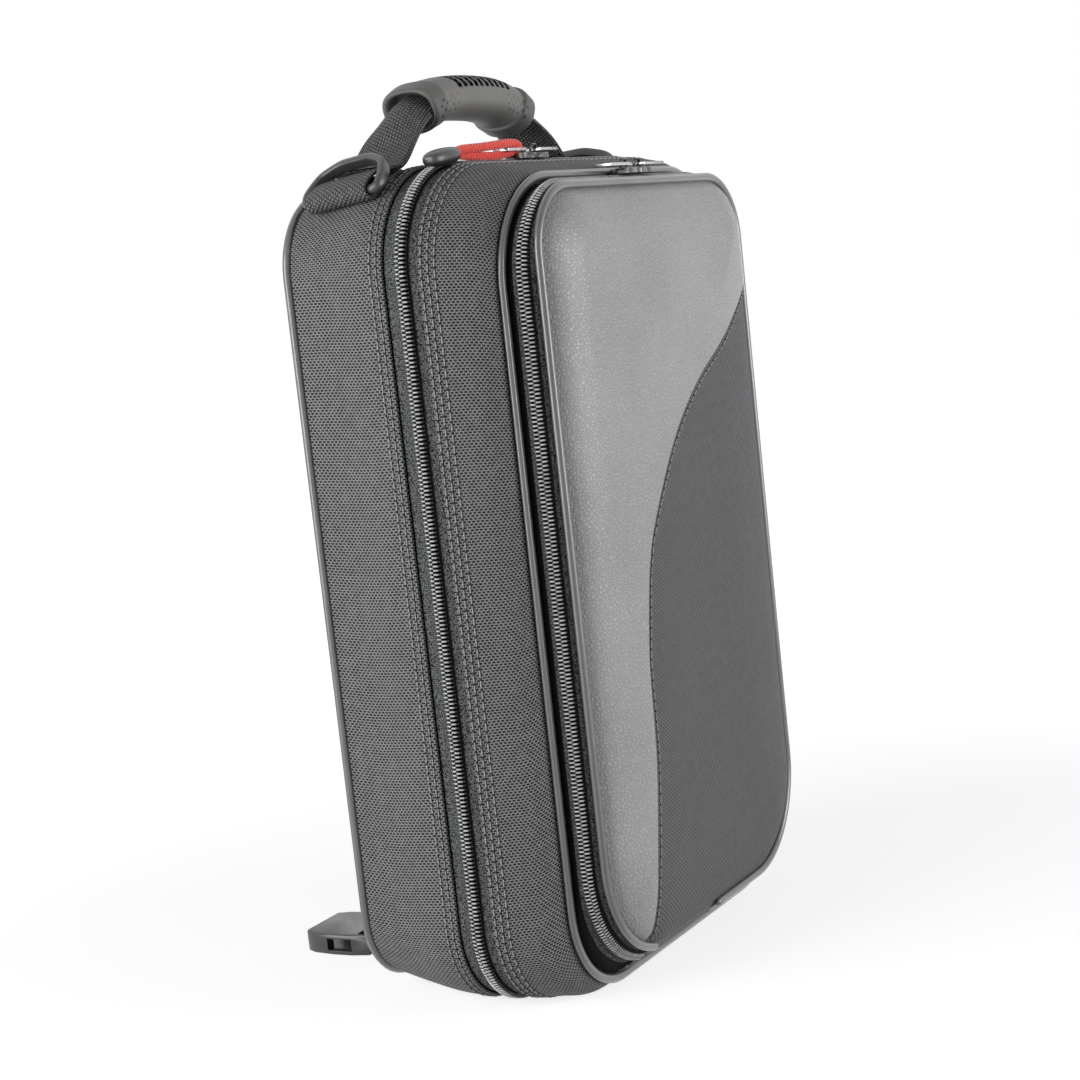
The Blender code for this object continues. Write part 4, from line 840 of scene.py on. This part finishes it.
row = beside(rounded_path(SEAM, 900, 60), 0.0021)
x, z = row[inset_of(FLAP_SECTION, row[:, 0], row[:, 1]) > 0.0035].T
step = 0.0004
slope_x = (flap_height(x + step, z) - flap_height(x - step, z)) / (2 * step)
slope_z = (flap_height(x, z + step) - flap_height(x, z - step)) / (2 * step)
out = unit(np.stack([-slope_x, -np.ones(len(x)), -slope_z], -1))
points = np.stack([x, ZIP_Y + FLAP_DEPTH - flap_height(x, z), z], -1) + out * 0.0001
seam_row = set_along("seam_stitches", stitch, np.concatenate([points, out], -1), 0.0039, thread)
fitted(seam_row, "pocket_flap", "panel_cloth")

# Carrying handle: one length of heavy woven webbing, sewn down at both ends by crosswise rows of thread. It is
# threaded through a moulded grip, and bows across its width inside it.

HANDLE_Y, HANDLE_BASE, HANDLE_REACH, HANDLE_RISE, HANDLE_BEND = 0.021, 0.31502, 0.0642, 0.0288, 2.85

# Webbing weave: Light is 1 in the middle of each bead and falls to 0 between the beads. The black between them is
# painted shade, and the round light on each bead is a painted highlight. Height is their relief.
(run, across, along), out = weave_group("webbing_weave", 0.0014, 0.0014)
run_along, run_across, _ = split(run)
columns = run_across / across
column = columns.op("FLOOR")
rows = run_along / along + column * 0.5
side, rise = columns - column - 0.5, rows - rows.op("FLOOR") - 0.5
far = ((side / 0.50).op("POWER", 2.0) + (rise / 0.44).op("POWER", 2.0)).op("SQRT")
bead = 1 - smooth_step(far, 0.35, 1.05)
put(out["Light"], bead)
put(out["Height"], bead.op("POWER", 0.6))

webbing, shader, run = material("handle_webbing", "run")
light, height = weave_of(run, "webbing_weave", 0.00128, 0.00150)
level = (noise(run, 420.0, 2.0) - 0.5) * 1.1 + light
colour = ramp(level, (0.001, 0.001, 0.001), (0.140, 0.137, 0.131))
filled_in(shader, colour, 0.62, (1.0, 0.00045, height))


def rounded(width, height, radius, steps=4):
    """The outline of a rounded rectangle, counterclockwise, from the middle of its right side."""
    angle = np.linspace(0, math.pi / 2, steps + 1)
    first = np.stack([np.cos(angle), np.sin(angle)], -1) * radius + (width / 2 - radius, height / 2 - radius)
    return np.concatenate([first, first[::-1] * (-1, 1), first * (-1, -1), first[::-1] * (1, -1)])


def swept(name, path, side, profile, surface, *fit, closed=False):
    """A profile carried along a path: each point is the path's point plus the side direction times the
    profile's first number and the upward direction, across path and side, times its second. fit is what
    fitted asks for, and without it nothing is said of the piece."""
    side = np.broadcast_to(np.asarray(side, float), np.shape(path))
    way = unit(np.roll(path, -1, 0) - np.roll(path, 1, 0) if closed else np.gradient(path, axis=0))
    side = unit(side - way * (side * way).sum(-1, keepdims=True))
    profile = np.broadcast_to(profile, (len(path),) + np.shape(profile)[-2:])
    points = path[:, None] + side[:, None] * profile[..., :1] + np.cross(side, way)[:, None] * profile[..., 1:]
    length, ring = lengths(path), profile[len(profile) // 2]
    ring_length = lengths(ring)
    period = (length[-1] + np.linalg.norm(path[0] - path[-1]) if closed else 0.0,
              ring_length[-1] + np.linalg.norm(ring[0] - ring[-1]))
    made = sheet_mesh(name, points, surface, (length[:, None], ring_length[None]), closed_u=True, closed_v=closed,
                      flip=True, caps=not closed, period=period)
    if fit:
        fitted(made, *fit)
    return made


def handle_line(x):
    """The webbing's middle line over the shell: flat over the grip and steep towards its feet."""
    return HANDLE_BASE + HANDLE_RISE * (1 - (np.abs(x) / HANDLE_REACH) ** HANDLE_BEND)


x = np.linspace(-0.0614, 0.0614, 90)
foot_end = np.array([(0.0638, 0.3172), (0.0655, 0.3161), (0.0695, 0.3159), (0.0740, 0.3157)])
middle = np.stack([x, handle_line(x)], -1)
path = rounded_path(np.concatenate([foot_end[::-1] * (-1, 1), middle, foot_end]), 220, 60)
path = np.stack([path[:, 0], np.full(len(path), HANDLE_Y), path[:, 1]], -1)
flat = rounded(0.0250, 0.0018, 0.0008)
top_line = np.stack([np.linspace(0.0118, -0.0118, 14), np.full(14, 0.0009)], -1)
flat = np.concatenate([flat[:5], top_line, flat[5:15], -top_line, flat[15:]])
bow = smoothed(1 - (np.abs(path[:, 0]) - 0.039) / 0.019)[:, None] * 0.0062
profile = np.stack([flat[:, 0] * (1 - 24 * bow), flat[:, 1] - bow * (0.75 - (flat[:, 0] / 0.0125) ** 2)], -1)
strap = swept("handle_webbing_strap", path, (0, 1, 0), profile, webbing)
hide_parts("handle_strap", "handle_riser_left", "handle_riser_right", "handle_anchor_left",
            "handle_anchor_right")
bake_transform(strap)
for name, side in (("left", -1), ("right", 1)):
    for number, out_by in enumerate((0.0666, 0.0722)):
        line = np.zeros((40, 6)) + (side * out_by, HANDLE_Y, 0.31695, 0.0, 0.0, 1.0)
        line[:, 1] += np.linspace(-0.0100, 0.0100, 40)
        row = set_along(f"anchor_stitches_{name}_{number}", stitch, line, 0.0030, thread)
        fitted(row, "base", "webbing")

# Moulded grip: soft rubber, arched with the webbing, with a raised hood round each mouth, ten slanted
# slots over its crown and a field of small dimples on each side.

rubber, shader, place = material("grip_rubber")
sand, rub = noise(place, 1300.0, 3.0), noise(place, 55.0, 3.0)
colour = ramp(rub * 0.8 + sand * 0.2, (0.105, 0.104, 0.101), (0.220, 0.217, 0.209))
# The grip's colour is darkened by its mark as painted shade. Where it is marked the IOR falls towards 1, so the
# slots reflect nothing and stay black.
filled_in(shader, with_painted_shade(place, colour), rub * 0.2 + 0.42, (0.35, 0.00006, sand),
          IOR=1.45 - 0.45 * smooth_step(attribute(place, "painted_shade"), 0.60, 0.95))


def squared_off(values, power):
    """Signed values raised to a power below one, which fills out the corners of an oval."""
    return np.sign(values) * np.abs(values) ** power


GRIP_HALF, GRIP_MIDDLE, GRIP_STEPS = 0.0386, 0.0018, 300
x = np.linspace(-1.0, 1.0, GRIP_STEPS) * GRIP_HALF + GRIP_MIDDLE
centre = np.stack([x, np.full(GRIP_STEPS, HANDLE_Y), handle_line(x)], -1)
up = unit(np.stack([-np.gradient(handle_line(x), x), 0 * x, np.ones(GRIP_STEPS)], -1))
cos, sin = circle(112)
far = np.abs(x - GRIP_MIDDLE)[:, None]
share = far / GRIP_HALF
collar = smoothed((far - 0.0290) / 0.0030)
end = 1 - 0.10 * (1 - np.clip((GRIP_HALF - far) / 0.0012, 0.0, 1.0)) ** 2
up_by = squared_off(sin, 0.80) * np.where(sin < 0, 1 - 0.12 * np.abs(cos), 1.0)
side_at = (0.0132 - 0.0012 * share**2 + 0.0010 * collar) * end * squared_off(cos, 0.72)
up_at = (0.0087 - 0.0006 * share**2 + 0.0006 * collar) * end * up_by
slanted = 0.17 * side_at * np.clip(share, 0, 1) ** 2
off_slot = x[:, None] + slanted + 0.10 * side_at
off_slot = off_slot - np.clip(np.floor(off_slot / 0.0040) + 0.5, -4.5, 4.5) * 0.0040
above = np.clip((up_at - 0.0034) / 0.0005, 0, 1)
# The second mask is a little wider than the slot, and marks where the slot is painted dark as painted shade.
slot, slot_shade = (above * (1 - np.clip((np.abs(off_slot) - half) / 0.00020, 0, 1)) for half in (0.00105, 0.00130))
dimples = np.zeros_like(side_at)
for row_number, place_number, mirror in np.ndindex(4, 4, 2):
    dot_x = (0.0195 + place_number * 0.0040 + (row_number % 2) * 0.0020) * (2 * mirror - 1)
    reach = np.hypot(x[:, None] - dot_x, up_at - 0.0012 + row_number * 0.0019)
    dimples += np.exp(-((reach / 0.00055) ** 4)) * (np.abs(cos) > 0.6)
hood = np.clip((far - 0.0300) / 0.0004, 0, 1)
relief = 0.0007 * hood - 0.0024 * slot - 0.00035 * dimples
side_at, up_at = side_at + cos * relief, up_at + sin * relief
points = centre[:, None] + np.array([0.0, 1.0, 0.0]) * side_at[..., None] + up[:, None] * up_at[..., None]
points[..., 0] += slanted
mouths = []
for row, inward in ((0, unit(centre[1] - centre[0])), (-1, unit(centre[-2] - centre[-1]))):
    middle = points[row].mean(0)
    mouths.append([middle + (points[row] - middle) * shrink + inward * pull
                   for shrink, pull in ((0.95, 0.0002), (0.84, 0.0016), (0.84, 0.006))])
points = np.concatenate([mouths[0][::-1], points, mouths[1]])
grip = sheet_mesh("handle_grip_rubber", points, rubber, closed_u=True, caps=True)
# Painted shade: the slots are painted nearly black, the dimples darker and the hoods round both mouths darker, for
# the shade in the slots and dimples and on the hoods.
mark(grip, "painted_shade", np.pad(np.clip(slot_shade + dimples * 0.6 + hood * 0.42, 0.0, 1.0), ((3, 3), (0, 0))))
fitted(grip, "handle", "rubber", "handle_grip")

# Strap rings: a moulded D of satin plastic at each top corner, its bar held in a tab of webbing. The tab is
# sewn to the corner, folds round the bar and runs up to the handle's anchor.

plastic, shader, place = material("satin_plastic")
scuff = noise(place, 160.0, 4.0)
filled_in(shader, ramp(scuff, (0.012, 0.012, 0.012), (0.042, 0.042, 0.041)), scuff * 0.25 + 0.24,
          (0.25, 0.00004, noise(place, 1700.0, 2.0)), Coat_Weight=0.25, Coat_Roughness=0.2)

ring_shape = np.array([
    (-1.0, 0.0), (-1.0, 0.34), (-0.84, 0.76), (-0.40, 1.0), (0.40, 1.0), (0.84, 0.76), (1.0, 0.34), (1.0, 0.0),
    (0.5, 0.0), (-0.5, 0.0),
])
RING_OUT, RING_DEPTH, RING_LEAN = math.radians(42.0), 0.0325, math.radians(6.0)
BAR_LIFT = 0.0042


def ring_place(side):
    """A ring's place and its own directions: its bar along the corner's slope, down the corner, outward."""
    out = np.array([side * math.sin(RING_OUT), 0.0, math.cos(RING_OUT)])

    def corner_at(depth):
        w, foot, top, _, radius = band_section(depth)
        return np.array([side * (w - radius), ZIP_Y + depth, top - radius]) + out * radius

    near, far = corner_at(0.0180), corner_at(0.0470)
    middle = (near + far) / 2
    bar = unit((far - near) * -side)
    normal = unit(out - bar * out.dot(bar))
    high = max((corner_at(RING_DEPTH + by) - middle).dot(normal) for by in (-0.010, -0.0058, 0.0, 0.0058))
    return middle + normal * max(high, 0.0), bar, np.cross(normal, bar), normal


def bend(y, z, radius, end):
    """Points from under a bar round its far side, in steps of about twelve degrees."""
    turned = np.radians(np.linspace(0, end, end // 11))
    return [(y + radius * math.sin(angle), z - radius * math.cos(angle)) for angle in turned]


for side, name in ((-1, "left"), (1, "right")):
    place, bar, down, normal = ring_place(side)
    shape = np.stack([
        ring_shape[:, 0] * 0.0196 + side * 0.0018, -ring_shape[:, 1] * 0.0165 * math.cos(RING_LEAN),
        BAR_LIFT + ring_shape[:, 1] * 0.0165 * math.sin(RING_LEAN),
    ], -1)
    line = rounded_path(shape, 160, 16, closed=True)
    bar_part = np.clip(1 - np.abs(line[:, 1]) / 0.004, 0.0, 1.0)[:, None, None]
    strip, rod = rounded(0.0046, 0.0030, 0.0009, 3), rounded(0.0038, 0.0038, 0.0018, 3)
    path = place + line @ np.stack([bar, down, normal])
    ring = f"strap_ring_{name}"
    profile = strip + (rod - strip) * bar_part
    swept(ring + "_moulding", path, normal, profile, plastic, f"ring_{name}", "plastic", ring, closed=True)

    radius = band_section(RING_DEPTH)[4]
    sewn = [(y, 0.0009 - y * y / (2 * radius)) for y in (-0.0172, -0.0140, -0.0105, -0.0070, -0.0035)]
    back = [(-0.0035, 0.0068), (-0.0070, 0.0060), (-0.0110, 0.0040), (-0.0150, 0.0012), (-0.0185, -0.0018)]
    line = rounded_path(sewn + bend(0.0, BAR_LIFT, 0.0030, 180) + back, 120, 8)
    flat = rounded(0.0325, 0.0015, 0.0007, 3) + (side * 0.0016, 0.0)
    tab, path = f"ring_tab_{name}", place + line @ np.stack([down, normal])
    swept(tab + "_webbing", path, bar, flat, webbing, "base", "webbing", tab)

# Foot: a tab and a short length of webbing behind the case on each side, each with the socket half of a
# side-release buckle, moulded in the same plastic, on its end.


def refined(name, width, surface, body, slot_name, segments=3, angle=28.0):
    """A copy of a solid with its triangles joined into flat faces and its edges rounded."""
    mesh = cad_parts[name].data.copy()
    shape = bmesh.new()
    shape.from_mesh(mesh)
    bmesh.ops.remove_doubles(shape, verts=shape.verts, dist=0.00001)
    bmesh.ops.dissolve_limit(shape, angle_limit=math.radians(1.5), verts=shape.verts, edges=shape.edges)
    shape.to_mesh(mesh)
    shape.free()
    mesh.materials.clear()
    mesh.materials.append(surface)
    mesh.shade_smooth()
    made = bpy.data.objects.new(name + "_finished", mesh)
    bpy.context.scene.collection.objects.link(made)
    edge = made.modifiers.new("edges", "BEVEL")
    edge.width = width
    edge.segments = segments
    edge.limit_method = "ANGLE"
    edge.angle_limit = math.radians(angle)
    edge.harden_normals = True
    fitted(made, body, slot_name, name)
    return made


for side, name in ((-1, "left"), (1, "right")):
    tab = [(0.0352, 0.0014), (0.0425, 0.0021), (0.0497, 0.0021)]
    loop = [(0.0505, 0.0022), (0.0620, 0.0019), (0.0740, 0.0011), (0.0790, 0.0011)]
    loop += bend(0.0810, 0.0045, 0.0034, 200) + [(0.0755, 0.0040), (0.0690, 0.0034), (0.0610, 0.0036)]
    for line, made_name, node_name, body in (
        (tab, f"foot_tab_{name}_webbing", f"foot_tab_{name}", "base"),
        (loop, f"foot_webbing_{name}_loop", f"foot_webbing_{name}", f"buckle_{name}"),
    ):
        line = rounded_path(line, 80, 6)
        path = np.stack([np.full(len(line), side * 0.035), line[:, 0], line[:, 1]], -1)
        flat = rounded(0.0248, 0.0015, 0.00063, 3)
        swept(made_name, path, (1, 0, 0), flat, webbing, body, "webbing", node_name)
    refined(f"strap_buckle_{name}", 0.0006, plastic, f"buckle_{name}", "plastic")

# Sliders and pulls: die-cast zinc, lacquered black and lighter on their sharp edges. Each slider wraps both
# coils of its zip, and its pull is hinged on it.

lacquer, shader, place = material("lacquered_zinc")
mottle = noise(place, 420.0, 4.0)
edge = node(place.tree, "NewGeometry", output="Pointiness")
# The colour turns to a light metal on the mesh's sharp edges, found by their pointiness.
bright_edges = smooth_step(mottle * 0.12 + edge, 0.57, 0.66)
colour = ramp(bright_edges, (0.030, 0.030, 0.031), (0.55, 0.54, 0.53))
filled_in(shader, colour, mottle * 0.25 + 0.12, Metallic=0.75)
for name in ("main_{}_left", "main_{}_right", "pocket_{}_left", "pocket_{}_right"):
    for kind, width in (("slider", 0.00035), ("pull", 0.0003)):
        refined(name.format(kind), width, lacquer, name.format(kind), "slider")

# Red cord: a loop of braided cord, threaded through the main zip's left pull. Its two ends are moulded into a
# black rubber cap.

braid, shader, run = material("red_braid", "run")
run_along, run_across, _ = split(run)
turned, spiral = run_along / 0.0021, run_across / (0.00815 / 4)
one, two = (((turned + way * spiral) * (2 * math.pi)).op("SINE") for way in (1.0, -1.0))
strand = one.op("MAXIMUM", two)
colour = ramp(strand * 0.5 + 0.5, (0.60, 0.010, 0.006), (1.0, 0.060, 0.035))
filled_in(shader, colour, 0.55, (0.9, 0.0003, strand), Sheen_Weight=0.25)

route = [
    (-0.0650, 0.0004, 0.3184), (-0.0570, 0.0008, 0.3184), (-0.0440, 0.0010, 0.3178), (-0.0330, 0.0009, 0.3176),
    (-0.0235, 0.0006, 0.3184), (-0.0150, 0.0002, 0.3196), (-0.0125, 0.0, 0.3208), (-0.0150, -0.0002, 0.3222),
    (-0.0235, -0.0006, 0.3224), (-0.0330, -0.0009, 0.3216), (-0.0440, -0.0010, 0.3209), (-0.0570, -0.0006, 0.3204),
    (-0.0650, -0.0004, 0.3188),
]
line = rounded_path(route, 260, 30) + (0.0, ZIP_Y, 0.0)
rod = np.stack(circle(14), -1) * 0.0017
swept("pull_cord_braid", line, (0.0, 1.0, 0.08), rod, braid, "main_pull_left", "cord", "pull_cord")
angle = np.linspace(0, math.pi, 26)
path = (-0.0708, ZIP_Y, 0.3178) - np.cos(angle)[:, None] * (0.0096, 0.0, 0.0012)
cos, sin = circle(32)
oval = np.stack([squared_off(cos, 0.75) * 0.0048, squared_off(sin, 0.75) * 0.0032], -1)
size = np.maximum(np.sin(angle) ** 0.55, 0.06)[:, None, None]
swept("pull_cap_rubber", path, (0, 1, 0), oval * size, plastic, "main_pull_left", "rubber", "pull_cap")

# Inside: a moulded cradle in brushed pile with beds for the joints and the bell, two hold-down straps of
# webbing over it, a thin pad inside the lid, and the flap's foam.

refined("instrument_cradle", 0.0016, pile, "base", "lining", 3, 35.0)
for height, name in ((0.090, "hold_strap_lower"), (0.210, "hold_strap_upper")):
    path = np.zeros((60, 3)) + (0.0, ZIP_Y + 0.0108, height)
    path[:, 0] = np.linspace(-0.0915, -0.0055, 60)
    flat = rounded(0.0198, 0.0016, 0.0007, 3)
    swept(name + "_webbing", path, (0, 0, 1), flat, webbing, "base", "webbing", name)
pad = refined("lid_pad", 0.0018, pile, "lid", "lining", 3, 20.0)
foam = refined("flap_pad", 0.0006, pile, "pocket_flap", "lining", 2, 40.0)
